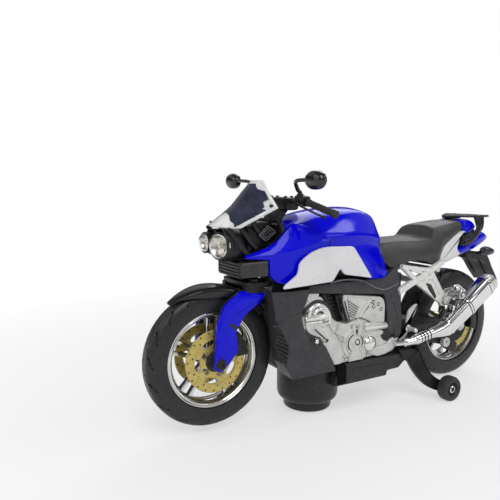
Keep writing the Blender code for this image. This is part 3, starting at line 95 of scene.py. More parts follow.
def skin(points, around=True, ends=True, ring=False):
    """Surface through rows of points: each point is joined to the next one in its row and to the same
    one in the next row; around closes each row, ends fills the first and last, ring joins them."""
    rows, columns = points.shape[:2]
    index = np.arange(rows * columns).reshape(rows, columns)
    if around:
        index = np.hstack([index, index[:, :1]])
    if ring:
        index = np.vstack([index, index[:1]])
    corners = index[:-1, :-1], index[:-1, 1:], index[1:, 1:], index[1:, :-1]
    faces = np.stack(corners, -1).reshape(-1, 4).tolist()
    if ends and not ring:
        faces += [index[0, :columns][::-1].tolist(), index[-1, :columns].tolist()]
    return points.reshape(-1, 3), faces


def on_axis(r, along, turn, axis="Y"):
    """Point at radius r and angle turn round an axis, at a distance along it."""
    r, along, turn = np.broadcast_arrays(r, along, turn)
    a, b = r * np.cos(turn), r * np.sin(turn)
    return {"X": np.stack([along, a, b], -1), "Y": np.stack([a, along, b], -1),
            "Z": np.stack([a, b, along], -1)}[axis]


def turned(profile, centre=(0, 0, 0), axis="Y", steps=48, closed=False):
    """A profile of (radius, distance along the axis) carried once round the axis."""
    profile = np.array(profile, float)
    points = on_axis(profile[:, :1], profile[:, 1:], circle(steps), axis) + np.array(centre)
    return skin(points, ends=not closed, ring=closed)


def rect(low_a, high_a, low_b, high_b):
    """Corners of a rectangle."""
    return [(low_a, low_b), (high_a, low_b), (high_a, high_b), (low_a, high_b)]


def rod(r, low, high, centre, axis="Y", steps=48):
    """A plain round bar along an axis."""
    return turned(rect(0, r, low, high), centre, axis, steps)


def washer(r_low, r_high, low, high, centre, steps=48):
    """A flat ring round the side axis."""
    return turned(rect(r_low, r_high, low, high), centre, steps=steps, closed=True)


def piece(name, skins, material, node=None, sharp=32, body="frame"):
    """One mesh from several skins: millimetres become metres, points that meet are merged, faces are
    turned outwards and edges sharper than the given angle stay crisp. It rides on body and shows in
    place of node."""
    points = np.concatenate([s[0] for s in skins]) * MM + ORIGIN
    faces = []
    start = 0
    for skin_points, skin_faces in skins:
        faces += [[start + i for i in face] for face in skin_faces]
        start += len(skin_points)
    mesh = bpy.data.meshes.new(name)
    mesh.from_pydata(points, [], faces)
    tidy = bmesh.new()
    tidy.from_mesh(mesh)
    bmesh.ops.remove_doubles(tidy, verts=tidy.verts, dist=MERGE)
    bmesh.ops.dissolve_degenerate(tidy, edges=tidy.edges, dist=1e-7)
    bmesh.ops.recalc_face_normals(tidy, faces=tidy.faces)
    tidy.to_mesh(mesh)
    tidy.free()
    mesh.polygons.foreach_set("use_smooth", np.ones(len(mesh.polygons), bool))
    mesh.set_sharp_from_angle(angle=math.radians(sharp))
    mesh.materials.append(material)
    thing = bpy.data.objects.new(name, mesh)
    bpy.context.scene.collection.objects.link(thing)
    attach(thing, body)
    if node:
        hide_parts(node)


def finish(name, colour, rough, metal=0.0, tone=0.12, spots=250.0, grain=2500.0, depth=0.02, uneven=0.12,
           coat=0.0, sheen=0.0, cells=False, stretch=(1, 1, 1), clear=0.0, dust=0.0, shine=0.35,
           bend=1.5):
    """A surface finish: slow noise shifts the colour and the gloss, fine noise or cells give the grain,
    and a third noise leaves a faint pale dust. Sizes are per metre, depth is in millimetres."""
    material = bpy.data.materials.new(name)
    material.use_nodes = True
    nodes, links = material.node_tree.nodes, material.node_tree.links
    shader = nodes["Principled BSDF"]
    for socket, value in (("Metallic", metal), ("Specular IOR Level", shine), ("IOR", bend),
                          ("Coat Weight", coat), ("Coat Roughness", 0.06), ("Sheen Weight", sheen),
                          ("Transmission Weight", clear)):
        shader.inputs[socket].default_value = value
    where = nodes.new("ShaderNodeTexCoord")
    turn = nodes.new("ShaderNodeMapping")
    turn.inputs["Scale"].default_value = stretch
    links.new(where.outputs["Object"], turn.inputs["Vector"])

    def noise(scale, detail):
        made = nodes.new("ShaderNodeTexNoise")
        made.inputs["Scale"].default_value = scale
        made.inputs["Detail"].default_value = detail
        links.new(turn.outputs[0], made.inputs["Vector"])
        return made.outputs["Fac"]

    def ranged(value, low, high, to_low, to_high):
        made = nodes.new("ShaderNodeMapRange")
        for socket, number in (("From Min", low), ("From Max", high), ("To Min", to_low),
                               ("To Max", to_high)):
            made.inputs[socket].default_value = number
        links.new(value, made.inputs["Value"])
        return made.outputs[0]

    slow = noise(spots, 4)
    ramp = nodes.new("ShaderNodeValToRGB")
    dark, pale = (tuple(min(1, c * k) for c in colour) + (1,) for k in (1 - tone, 1 + tone))
    ramp.color_ramp.elements[0].position = 0.32
    ramp.color_ramp.elements[1].position = 0.68
    ramp.color_ramp.elements[0].color = dark
    ramp.color_ramp.elements[1].color = pale
    links.new(slow, ramp.inputs["Fac"])
    shade = ramp.outputs["Color"]
    if dust:
        over = nodes.new("ShaderNodeMix")
        over.data_type = "RGBA"
        over.inputs["B"].default_value = (0.42, 0.41, 0.39, 1.0)
        links.new(ranged(noise(spots * 3.7, 6), 0.5, 0.75, 0, dust), over.inputs["Factor"])
        links.new(shade, over.inputs["A"])
        shade = over.outputs["Result"]
    links.new(shade, shader.inputs["Base Color"])
    gloss = ranged(noise(spots * 2.3, 5), 0.3, 0.7, max(0.02, rough * (1 - uneven)),
                   min(1, rough * (1 + uneven)))
    links.new(gloss, shader.inputs["Roughness"])
    if cells:
        fine = nodes.new("ShaderNodeTexVoronoi")
        fine.feature = "DISTANCE_TO_EDGE"
        fine.inputs["Scale"].default_value = grain
        links.new(turn.outputs[0], fine.inputs["Vector"])
        height = fine.outputs["Distance"]
    else:
        height = noise(grain, 3)
    bump = nodes.new("ShaderNodeBump")
    bump.inputs["Strength"].default_value = 1.0
    bump.inputs["Distance"].default_value = depth * MM
    links.new(height, bump.inputs["Height"])
    links.new(bump.outputs[0], shader.inputs["Normal"])
    return material


def smooth_step(x):
    """Soft 0 to 1 step, 3x squared less 2x cubed, held outside 0 to 1."""
    x = np.clip(x, 0, 1)
    return x * x * (3 - 2 * x)


RIM_EDGE = 27.3
tyre_rubber = finish("tyre_rubber", (0.0125, 0.0128, 0.0142), 0.42, spots=220, grain=1500, depth=0.04,
                     uneven=0.3, dust=0.04, shine=0.45)
tread_shadow = finish("tread_shadow", (0.0015, 0.0015, 0.0018), 0.8, tone=0.2, spots=200, grain=1500,
                      shine=0.1)
TREAD_CUTS = 17
TREAD_DEPTH = 1.0


def tyre(name, body):
    """Radius over an angle and a cross-section place: a rounded section from bead to bead, less a tread
    depth where the slanting wave of the cuts passes, fading in from the crown's middle line."""
    radius, half = half_size(name)[:2]
    across = np.linspace(-1, 1, 41)
    turn = circle(540)
    bend = soft(across, 0.8) * np.pi / 2
    y = half * np.sin(bend)
    shoulder = radius - RIM_EDGE
    r = radius - shoulder * (1 - np.cos(bend) ** 0.62) * np.clip((np.abs(across) - 0.02) * 1.02, 0, 1)
    wall = np.abs(across) > 0.8
    lines = 0.16 * (np.exp(-((r - RIM_EDGE - 1.3) / 0.22) ** 2)
                    + np.exp(-((r - RIM_EDGE - 3.6) / 0.3) ** 2))
    y = y + np.sign(y) * np.where(wall, lines, 0)
    swing = np.abs(across)[:, None]
    zigzag = 0.13 * np.abs((swing * 6.4) % 2.0 - 1.0)
    wave = turn * TREAD_CUTS / (2 * np.pi) + swing * 1.3 + zigzag + 0.5 * (across[:, None] > 0)
    ridge = 1 - smooth_step(np.abs((wave % 1.0) - 0.5) / 0.075)
    second = 1 - smooth_step(np.abs(((wave + 0.42 - swing * 0.9 + zigzag) % 1.0) - 0.5) / 0.05)
    band = smooth_step((swing - 0.08) / 0.06) * smooth_step((0.72 - swing) / 0.08)
    inner_band = smooth_step((swing - 0.3) / 0.05) * smooth_step((0.62 - swing) / 0.05)
    depth = TREAD_DEPTH * np.clip(ridge * band + second * inner_band * 0.8, 0, 1)
    tread_r = r[:, None] - depth
    tread_y = np.broadcast_to(y[:, None], depth.shape)
    bead = np.array([(RIM_EDGE - 0.05, half * 0.8), (RIM_EDGE - 2.0, half * 0.58),
                     (RIM_EDGE - 2.0, -half * 0.58), (RIM_EDGE - 0.05, -half * 0.8)])
    tread_r = np.vstack([tread_r, np.repeat(bead[:, :1], len(turn), 1)])
    tread_y = np.vstack([tread_y, np.repeat(bead[:, 1:], len(turn), 1)])
    tread = np.abs(across) < 0.74
    # A near-black ring just under the tread, seen only through the cuts: painted shade on their floors.
    floor_line = np.vstack([np.stack([r - 0.3, y * 0.99], 1)[tread],
                            np.stack([r - 1.6, y * 0.93], 1)[tread][::-1]])
    piece(name + "_tread_shade", [turned(floor_line, place(name), steps=180, closed=True)], tread_shadow,
          body=body)
    points = on_axis(tread_r, tread_y, turn) + place(name)
    piece(name + "_rubber", [skin(points, ring=True)], tyre_rubber, name, 40, body)


tyre("front_tyre", "front_wheel")
tyre("rear_tyre", "rear_wheel")


# ---- wheel rims ----
# Plated plastic rims with a double lip, five pairs of slim bars from hub to well, each bar with black
# paint on its sides, and a ribbed hub with round lightening dimples.

plated_rim = finish("plated_rim", (0.66, 0.66, 0.65), 0.16, 1, tone=0.05, spots=90, grain=900,
                    depth=0.006, uneven=0.35)
SPOKE_PAIRS = 5
black_infill = finish("black_infill", (0.018, 0.018, 0.019), 0.42, spots=300, grain=2600)


def bar_between(a, b, widths, y_low, y_high, round_off=0.35):
    """A bar seen from the side: straight from a to b with a width at each end, its section a box with
    rounded corners drawn as a power curve of sine and cosine."""
    a, b = np.array(a, float), np.array(b, float)
    s = np.linspace(0, 1, 9)[:, None]
    mid = a + (b - a) * s
    along = unit(b - a)
    across = np.array([-along[1], along[0]])
    half = (widths[0] + (widths[1] - widths[0]) * s) / 2
    t = circle(20)
    u, v = soft(np.cos(t), round_off), soft(np.sin(t), round_off)
    x = mid[:, :1] + across[0] * half * u
    z = mid[:, 1:] + across[1] * half * u
    return skin(grid(x, (y_low + y_high) / 2 + (y_high - y_low) / 2 * v, z))


def rim(name, body, tyre_name):
    """Barrel profile turned about the axle, with the pairs of bars fanned from the hub."""
    c = place(name)
    half = half_size(tyre_name)[1] * 0.84
    lip, well = RIM_EDGE - 0.35, RIM_EDGE - 2.7
    side = [(lip - 1.9, half * 0.98), (lip - 1.3, half + 0.02), (lip - 0.9, half - 0.18),
            (lip - 0.6, half + 0.05), (lip - 0.2, half + 0.05), (lip, half - 0.2),
            (lip - 0.1, half - 0.9), (well, half * 0.66)]
    inner = [(well - 1.5, half * 0.42), (lip - 2.6, half * 0.86)]
    profile = ([(r, -y) for r, y in side] + [(r, y) for r, y in reversed(side)]
               + [(r, y) for r, y in reversed(inner)] + [(r, -y) for r, y in inner])
    skins = [turned(profile, c, steps=120, closed=True)]
    dark = []
    for k in range(SPOKE_PAIRS):
        mid = 2 * np.pi * (k + 0.32) / SPOKE_PAIRS
        for lean in (-1, 1):
            ends = [c[[0, 2]] + r * np.array([np.cos(mid + lean * a), np.sin(mid + lean * a)])
                    for r, a in ((5, 0.34), (well - 0.8, 0.135))]
            skins.append(bar_between(*ends, (2.5, 2), -1.9, 1.9))
            dark.append(bar_between(*ends, (2.64, 2.14), -1.5, 1.5))
    hub = half_size(tyre_name)[1] - 0.6
    skins.append(turned([(2, -hub), (4.9, -hub), (5.5, -hub + 0.6), (5.8, -2.4), (6.4, -2), (6.4, 2),
                         (5.8, 2.4), (5.5, hub - 0.6), (4.9, hub), (2, hub)], c, closed=True))
    piece(name + "_plated", skins, plated_rim, name, 30, body)
    piece(name + "_infill", dark, black_infill, sharp=30, body=body)


rim("front_rim", "front_wheel", "front_tyre")
rim("rear_rim", "rear_wheel", "rear_tyre")


# ---- brake discs ----
# Flat gold-painted rings with two rows of small drilled holes, five long slots and scalloped windows
# round a black plastic boss; each is pressed on to its side of the rim.

gold_paint = finish("gold_paint", (0.56, 0.45, 0.14), 0.34, 0.55, tone=0.1, spots=400, grain=1800,
                    depth=0.01, uneven=0.25)
boss_black = finish("boss_black", (0.022, 0.021, 0.022), 0.5, spots=500, grain=3000, depth=0.03)


def drilled_band(r0, r1, count, hole, span, low, high, centre, turn_by=0.0, keep=None, square=1.0):
    """A ring of like tiles between two radii. Each tile runs from its four-sided edge to a hole in its
    middle: front edge, hole front, hole back, back edge. hole is its half height, span its half width
    as a share of the tile, and square the power of its outline."""
    keep = np.ones(count) if keep is None else keep
    t = circle(24) + np.pi / 4
    cu, cv = np.cos(t), np.sin(t)
    big = np.maximum(np.abs(cu), np.abs(cv))
    hu = soft(cu, square) * span
    hv = soft(cv, square) * hole / ((r1 - r0) / 2)
    mid_r = (r0 + r1) / 2
    skins = []
    for k in range(count):
        u = np.stack([cu / big, hu * keep[k], hu * keep[k], cu / big])
        v = np.stack([cv / big, hv * keep[k], hv * keep[k], cv / big])
        y = np.array([high, high, low, low])[:, None] + 0 * u
        angle = turn_by + (k + 0.5 + u / 2) * 2 * np.pi / count
        points = on_axis(mid_r + v * (r1 - r0) / 2, y, angle) + centre
        skins.append(skin(points, ends=False))
    return skins


def band_edges(r, low, high, centre, steps):
    """The upright wall of a band at one radius."""
    return skin(on_axis(r, np.array([[low], [high]]), circle(steps)) + centre, ends=False)


def brake_disc(name, body, side):
    """Outer drilled band, slotted inner band and the boss with its cap."""
    size = half_size(name)
    c = place(name)
    low, high = c[1] - size[1], c[1] + size[1]
    face = [high - 1.0, high] if side < 0 else [low, low + 1.0]
    c = c * np.array((1, 0, 1))
    tile = np.arange(40)
    skins = drilled_band(15.3, 17.6, 40, 0.6, 0.36, *face, c, keep=(tile % 2 == 0) * 1.0)
    skins += drilled_band(12.6, 15.3, 40, 0.6, 0.42, *face, c, keep=(tile % 4 == 1) * 1.0)
    inner = [face[0] + 0.12, face[1] - 0.12]
    skins += drilled_band(9, 12.8, 5, 1.62, 0.6, *inner, c, -0.7, square=0.75)
    skins += drilled_band(5.6, 9.1, 5, 1.62, 0.5, *inner, c, -1.33, square=0.95)
    edges = [band_edges(17.6, *face, c, 240), band_edges(12.6, *face, c, 240),
             band_edges(12.8, *inner, c, 240), band_edges(5.6, *inner, c, 120)]
    piece(name + "_gold", skins + edges, gold_paint, name, 30, body)
    mid = sum(face) / 2
    # A black ring inside the disc, seen through the drilled holes: painted shade in the holes.
    back = washer(13, 17.3, mid - 0.1, mid + 0.1, c, 120)
    piece(name + "_hole_shade", [back], boss_black, sharp=30, body=body)
    end = high if side > 0 else low
    start = inner[0] + 0.2 if side > 0 else inner[1] - 0.2
    piece(name + "_boss", [turned([(2, start), (5.9, start), (5.9, start + (end - start) * 0.5),
                                   (4.9, start + (end - start) * 0.6), (4.6, end), (2, end)], c,
                                  closed=True)], boss_black, sharp=30, body=body)


brake_disc("front_disc_left", "front_wheel", 1)
brake_disc("front_disc_right", "front_wheel", -1)
brake_disc("rear_disc", "rear_wheel", 1)


# ---- fork legs and axle ----
# Two blue gloss-painted legs bent like a boomerang: a broad outer face with a raised front band, a
# small slot drawn as a black patch of painted shade, two cap screws near the top, a foot cap low down,
# and the black axle through both.

gloss_blue = finish("gloss_blue", (0.001, 0.001, 0.66), 0.13, tone=0.05, spots=70, grain=700,
                    depth=0.004, uneven=0.2, coat=0.1, shine=0.2)
axle_black = finish("axle_black", (0.02, 0.02, 0.021), 0.35, 0.3, spots=600, grain=3000)
FX, FZ = place("front_tyre")[[0, 2]]  # middle of the front wheel in the side view
RX, RZ = place("rear_tyre")[[0, 2]]  # middle of the rear wheel


def eased(a, pull, b, t):
    """Quadratic blend from a through its pull to b."""
    return (1 - t) ** 2 * a + 2 * t * (1 - t) * pull + t ** 2 * b


def soft_corners(outline, cut=1.5):
    """Each corner becomes four points of a quadratic blend from a point before it, through its pull,
    to a point after it."""
    p = np.array(outline, float)
    before, after = np.roll(p, 1, 0) - p, np.roll(p, -1, 0) - p
    lengths = [np.maximum(np.linalg.norm(edge, axis=1), 1e-9) for edge in (before, after)]
    reach = np.minimum(cut, 0.42 * np.minimum(*lengths))[:, None]
    a = p + before / lengths[0][:, None] * reach
    b = p + after / lengths[1][:, None] * reach
    a, b, p = a[:, None], b[:, None], p[:, None]
    t = np.linspace(0, 1, 4)[None, :, None]
    return eased(a, p, b, t).reshape(-1, 2)


def inward(outline, distance):
    """The outline moved in along the mean of its two side normals at each point; where two points have
    passed each other in a tight corner they meet at their middle."""
    way = np.roll(outline, -1, 0) - np.roll(outline, 1, 0)
    way /= np.maximum(np.linalg.norm(way, axis=1), 1e-9)[:, None]
    area = np.sum(outline[:, 0] * np.roll(outline[:, 1], -1) - np.roll(outline[:, 0], -1)
                  * outline[:, 1])
    normal = np.stack([-way[:, 1], way[:, 0]], 1) * np.sign(area)
    moved = outline + normal * distance
    for _ in range(8):
        crossed = np.sum((np.roll(moved, -1, 0) - moved) * (np.roll(outline, -1, 0) - outline), 1) < 0
        mean = (moved + np.roll(moved, -1, 0)) / 2
        moved = np.where(crossed[:, None], mean, moved)
        moved = np.where(np.roll(crossed, 1)[:, None], np.roll(mean, 1, 0), moved)
    return moved


def plate(outline, low, high, edge=0.5, cut=1.5, axis="Y"):
    """A flat piece from its outline: the wall rises from low to high along the axis, and a quarter
    round of the given size turns it on to each face."""
    flat = soft_corners(outline, cut)
    quarter = np.linspace(0, np.pi / 2, 4)
    size = min(edge, abs(high - low) / 2.2)
    rows = [(size * (1 - np.sin(q)), low + size * (1 - np.cos(q))) for q in quarter]
    rows += [(size * (1 - np.cos(q)), high - size * (1 - np.sin(q))) for q in quarter]
    rings = []
    for inset, level in rows:
        a, b = inward(flat, inset).T
        rings.append(grid(*{"X": (level, a, b), "Y": (a, level, b), "Z": (a, b, level)}[axis]))
    return skin(np.array(rings))


def both(skins):
    """The same skins and their mirror images on the other side."""
    return skins + [(points * np.array((1, -1, 1)), faces) for points, faces in skins]


def sided(skins, side):
    """Skins made for the left side, put on the given side."""
    return [(points * np.array((1, side, 1)), faces) for points, faces in skins]


LEG_IN, LEG_OUT = 9.6, 15.6
leg_outline = [(-3.8, -2.4), (-1.6, -4.4), (1.4, -4.4), (3.4, -2.4), (2.4, 8), (1.6, 21), (-3, 31.5),
               (-13.4, 38.6), (-28, 36.2), (-26.4, 32), (-15.4, 25.2), (-9.6, 16.6), (-11.2, 5.4)]
front_band = [(-1.6, 4.4), (2.2, 4.4), (1.8, 10), (0.8, 20.6), (-3.6, 30.8), (-13.6, 37.6),
              (-26.6, 35.4), (-26, 33.6), (-14, 28.6), (-6.2, 25.4), (-3.9, 17.6), (-2.4, 8)]


def leg(word, side):
    """The leg plate with its raised front band, a black plate behind it and the foot cap."""
    at = np.array((FX, FZ))
    skins = [plate(np.array(leg_outline) + at, LEG_IN + 1.8, LEG_OUT - 0.9, 1, 2),
             plate(np.array(front_band) + at, LEG_OUT - 1.6, LEG_OUT, 0.9, 2.2)]
    name = "fork_leg_" + word
    piece(name + "_painted", sided(skins, side), gloss_blue, name, 30)
    inside = [plate(inward(np.array(leg_outline), 0.3) + at, LEG_IN, LEG_IN + 2.2, 0.3, 2),
              turned([(0, LEG_OUT - 1.6), (3.1, LEG_OUT - 1.6), (3.1, LEG_OUT - 0.7),
                      (2.7, LEG_OUT - 0.2), (0, LEG_OUT - 0.2)], (FX - 0.2, 0, FZ - 0.2))]
    piece(name + "_inside", sided(inside, side), boss_black)


for word, side in SIDES:
    leg(word, side)
# The slot is a thin black plate on the leg's face: painted shade in its hollow.
slot_shade_outline = np.array([(-5.4, 20.2), (-5.9, 22), (-10.2, 19.4), (-9.3, 17.4)]) + (FX, FZ)
piece("fork_slot_shades", both([plate(slot_shade_outline, LEG_OUT - 1.2, LEG_OUT - 0.75, 0.1, 0.4)]), boss_black)
screw = [(0, LEG_OUT - 1.2), (1.15, LEG_OUT - 1.2), (1.15, LEG_OUT - 0.35), (0.95, LEG_OUT - 0.15),
         (0.6, LEG_OUT - 0.15), (0.55, LEG_OUT - 0.7), (0, LEG_OUT - 0.7)]
piece("fork_screws", both([turned(screw, (FX - 24.6, 0, FZ + 34.5), steps=24),
                           turned(screw, (FX - 6.9, 0, FZ + 27.6), steps=24)]), gloss_blue)
end = half_size("front_axle")[1]
cap = [(0, end - 2.2), (2.3, end - 2.2), (2.3, end - 0.5), (2, end), (1.2, end), (1.1, end - 0.6),
       (0, end - 0.6)]
piece("front_axle_turned",
      both([turned(cap, (FX, 0, FZ), steps=36)]) + [rod(1.6, -end + 1, end - 1, (FX, 0, FZ))],
      axle_black, "front_axle", 30)


# ---- front calipers ----
# Black moulded calipers fixed behind the legs, one over each disc: a curved body with two round
# pots, a bridge strip along its outer edge and three small bolts.

moulded_black = finish("moulded_black", (0.009, 0.009, 0.0105), 0.38, tone=0.2, spots=220, grain=2400,
                       uneven=0.2, dust=0.03)


def ring_part(centre, r_low, r_high, start, stop, low, high, edge=0.4):
    """A curved block between two radii and two angles (degrees) with rounded edges."""
    angle = np.radians(np.linspace(start, stop, 9))
    outer = np.stack([centre[0] + r_high * np.cos(angle), centre[2] + r_high * np.sin(angle)], 1)
    inner = np.stack([centre[0] + r_low * np.cos(angle[::-1]), centre[2] + r_low * np.sin(angle[::-1])],
                     1)
    return plate(np.vstack([outer, inner]), low, high, edge, 0.8)


def spoke(r, degrees):
    """Step from a wheel's middle to a radius and an angle in the side view."""
    turn = math.radians(degrees)
    return np.array((r * math.cos(turn), 0, r * math.sin(turn)))


def pot(centre, low, high, r):
    """A round cap with a stepped face."""
    return turned([(0, low), (r, low), (r, high - 0.5), (r - 0.4, high - 0.15), (r * 0.55, high - 0.15),
                   (r * 0.5, high), (0, high)], centre, steps=28)


for word, side in SIDES:
    name = "front_caliper_" + word
    c = place("front_tyre")
    low, high = sorted(abs(place(name)[1] + way * half_size(name)[1]) for way in (-1, 1))
    face = low + 2.2
    skins = [ring_part(c, 12.8, 20.2, 128, 177, face, high - 0.5),
             ring_part(c, 18.3, 20.4, 132, 173, low, high - 0.2)]
    skins += [pot(c + spoke(16.2, a), high - 1.0, high, 2.5) for a in (136, 167)]
    skins += [pot(c + spoke(19, a), high - 0.6, high, 0.8) for a in (130, 152, 175)]
    piece(name + "_moulded", sided(skins, side), moulded_black, name, 30)


# ---- front mudguard ----
# A semi-gloss black moulded guard over the crown of the tyre, held under the fork bridge: pointed
# nose, rounded back and turned-down skirts.

guard_black = finish("guard_black", (0.009, 0.009, 0.01), 0.25, spots=120, grain=1800, depth=0.012,
                     uneven=0.25, coat=0.2)


def spline(points, count, closed=False, axis=0):
    """Smooth curve through rows of points: each span is the cubic of Catmull and Rom, half of
    (2b + (c-a)t + (2a-5b+4c-d)t^2 + (3b-a-3c+d)t^3)."""
    p = np.moveaxis(np.array(points, float), axis, 0)
    n = len(p)
    t = np.linspace(0, n if closed else n - 1, count, endpoint=not closed)
    i = np.minimum(t.astype(int), n - 1 if closed else n - 2)
    f = (t - i).reshape((-1,) + (1,) * (p.ndim - 1))
    pick = (lambda k: p[(i + k) % n]) if closed else (lambda k: p[np.clip(i + k, 0, n - 1)])
    a, b, c, d = pick(-1), pick(0), pick(1), pick(2)
    out = 0.5 * (2 * b + (c - a) * f + (2 * a - 5 * b + 4 * c - d) * f ** 2 + (3 * b - a - 3 * c + d)
                 * f ** 3)
    return np.moveaxis(out, 0, axis)


GUARD_IN, GUARD_T = 40.0, 1.5


def mudguard():
    """Radius and width over the angle round the wheel and the place across: a shallow arch whose edges
    turn down into skirts, narrowing to the nose."""
    f = np.linspace(0, 1, 60)[:, None]
    turn = np.radians(54 + f * 88)
    wide = 8.5 * np.minimum(1, 0.2 + 0.8 * np.sin(np.clip(f * 2.6, 0, 1) * np.pi / 2))
    drop = 4.6 * smooth_step(f * 2.4 + 0.05)
    out = np.array(
        [(-1, -1, 1), (-1.01, -0.35, 1), (-0.93, 0.2, 0), (-0.62, 0.78, 0), (-0.25, 0.98, 0),
         (0, 1.04, 0), (0.25, 0.98, 0), (0.62, 0.78, 0), (0.93, 0.2, 0), (1.01, -0.35, 1), (1, -1, 1)])
    out = spline(out, 41)
    y_out = wide * out[:, 0]
    r_out = GUARD_IN + np.where(out[:, 1] > 0, GUARD_T, drop) * out[:, 1]
    back = out[::-1]
    y_in = wide * back[:, 0] * (1 - 0.9 / 8.5)
    r_in = GUARD_IN - 0.9 + np.where(back[:, 1] > 0, GUARD_T - 0.2, drop - 0.9) * back[:, 1]
    y, r = np.hstack([y_out, y_in]), np.hstack([r_out, r_in])
    return skin(on_axis(r, y, turn) + np.array((FX, 0, FZ)))


piece("front_mudguard_shell", [mudguard()], guard_black, "front_mudguard", 30)


# ---- fork bridge ----
# The black yoke screwed on over the guard: a flat shelf between the legs, with two round caps and
# two lugs, and a ribbed stem up to the headlight.

TOP = FZ + GUARD_IN + GUARD_T + 0.8
yoke_plan = rect(FX - 29.4, FX - 16.2, -15, 15)
stem_plan = rect(FX - 29.2, FX - 18.6, -5.6, 5.6)
skins = [plate(yoke_plan, TOP - 3.0, TOP + 0.4, 0.8, 2.5, "Z"),
         plate(stem_plan, TOP - 0.6, TOP + 11.4, 0.7, 1.6, "Z")]
for k in range(4):
    skins.append(plate(inward(np.array(stem_plan), -0.35), TOP + 2.0 + k * 2.4, TOP + 2.9 + k * 2.4, 0.3,
                       1.6, "Z"))
for side in (-1, 1):
    skins += [
        turned([(0, TOP - 0.4), (2.7, TOP - 0.4), (2.7, TOP + 1.7), (2.1, TOP + 2.2), (0, TOP + 2.2)],
               (FX - 22.6, side * 11.0, 0), "Z", 32),
        plate(rect(FX - 25, FX - 15.6, 10.0 * side, 14.6 * side), TOP - 6.4, TOP - 2.0, 0.5, 1, "Z")]
piece("fork_bridge_moulded", skins, moulded_black, "fork_bridge", 30)


# ---- headlight ----
# Two unlike round lamps side by side in a black moulded nacelle: silvered bowls with a bulb stub,
# barrel hoods with ribs, and a clear dome over each lamp.

bowl_silver = finish("bowl_silver", (0.72, 0.68, 0.63), 0.22, 0.75, spots=900, grain=1400, depth=0.05,
                     uneven=0.4)
clear_cover = finish("clear_cover", (0.95, 0.95, 0.95), 0.04, tone=0.01, spots=100, grain=200,
                     depth=0.001, uneven=0.4, clear=1.0, shine=0.5, bend=1.3)
FACE, LAMP_Z = FX - 4.4, FZ + 62.8
# per lamp: y, radius, z, how far its dome stands out, how far it sits ahead, degrees turned outward
LAMPS = ((6.6, 6.7, LAMP_Z, 3, 1.2, 17), (-7.8, 5.1, LAMP_Z + 0.8, 3, 2.8, 0))
nacelle_outline = [
    (0, 7.6), (4, 9.7), (9, 9.2), (13, 5), (14, 0), (13, -5), (9, -8.2), (4, -8.2), (0, -6.4),
    (-4, -5.8), (-10, -5.6), (-13.4, -2), (-13.6, 3.4), (-10.4, 7.8), (-5, 8.6)]


def aim(skins, lamp):
    """A lamp's skins brought forward and turned outward about its own upright line."""
    y, ahead, degrees = lamp[0], lamp[4], lamp[5]
    c, s = math.cos(math.radians(degrees)), math.sin(math.radians(degrees))
    moved = []
    for points, faces in skins:
        points = np.array(points)
        a, b = points[:, 0] - FACE, points[:, 1] - y
        moved.append((np.stack([FACE + ahead + a * c - b * s, y + a * s + b * c, points[:, 2]], 1),
                      faces))
    return moved


def nacelle():
    """The front outline as a closed spline, scaled row by row from the back, over the rounded lip and
    back in to the recessed face."""
    ring = spline(nacelle_outline, 72, closed=True)
    rows = [(13, 0.80), (12.4, 0.83), (9, 0.965), (5, 0.985), (4.8, 0.965), (4.2, 0.965), (4, 0.99),
            (1, 1), (0.3, 0.985), (0, 0.95), (0.3, 0.92), (3.4, 0.9)]
    depth, scale = np.array(rows).T[..., None]
    return skin(grid(FACE - depth, ring[:, 0] * scale, LAMP_Z + ring[:, 1] * scale))


skins = [nacelle()]
for lamp in LAMPS:
    y, r, z = lamp[:3]
    skins += aim([turned([(r + 0.1, -4.4), (r + 0.9, -4.4), (r + 0.9, 0.1), (r + 0.6, 0.45),
                          (r + 0.1, 0.3)], (FACE, y, z), "X", 64, closed=True)], lamp)
for k in range(5):
    low, high = FACE - 8.4 + k * 1.5, FACE - 7.8 + k * 1.5
    skins.append(plate(rect(low, high, LAMP_Z - 2.6, LAMP_Z + 3.6), 12.6, 14.05 - k * 0.05, 0.2, 0.2))
piece("headlight_nacelle", skins, moulded_black, "headlight_housing", 30)
bowls = []
for lamp in LAMPS:
    y, r, z = lamp[:3]
    first = len(bowls)
    bowl = [(0, -3.5), (r * 0.3, -3.45), (r * 0.62, -2.7), (r * 0.86, -1.4), (r - 0.05, 0),
            (r - 0.05, 0.2), (r * 0.88, -1.9), (r * 0.62, -3.2), (0, -3.9)]
    bowls += [
        turned(bowl, (FACE, y, z), "X", 64),
        turned([(0, -3.6), (1.5, -3.5), (1.5, -1.4), (1.1, -0.6), (0, -0.3)], (FACE, y, z), "X", 32)]
    for turn in circle(10):
        way = np.array((math.cos(turn), math.sin(turn))) * r
        bar, faces = bar_between(way * 0.35 + (y, z), way * 0.84 + (y, z), (0.14, 0.22), -0.1, 0.1)
        lift = (np.hypot(bar[:, 0] - y, bar[:, 2] - z) / r) ** 2 * 2.6 - 3.55
        bowls.append((np.stack([FACE + lift + bar[:, 1], bar[:, 0], bar[:, 2]], 1), faces))
    bowls[first:] = aim(bowls[first:], lamp)
piece("headlight_bowls", bowls, bowl_silver)


def lamp_cover(lamp):
    """A thin clear dome: height out times the root of one less the squared share of the radius, and the
    same a wall's thickness further in."""
    y, r, z, out = lamp[:4]
    share = np.sin(np.linspace(0, np.pi / 2, 16))
    dome = [(q * (r - 0.1), out * math.sqrt(max(0, 1 - q * q)) + 0.25) for q in share]
    inner = [(q * (r - 0.7), (out - 0.6) * math.sqrt(max(0, 1 - q * q)) + 0.25) for q in share[::-1]]
    return aim([turned(dome + inner, (FACE, y, z), "X", 64)], lamp)


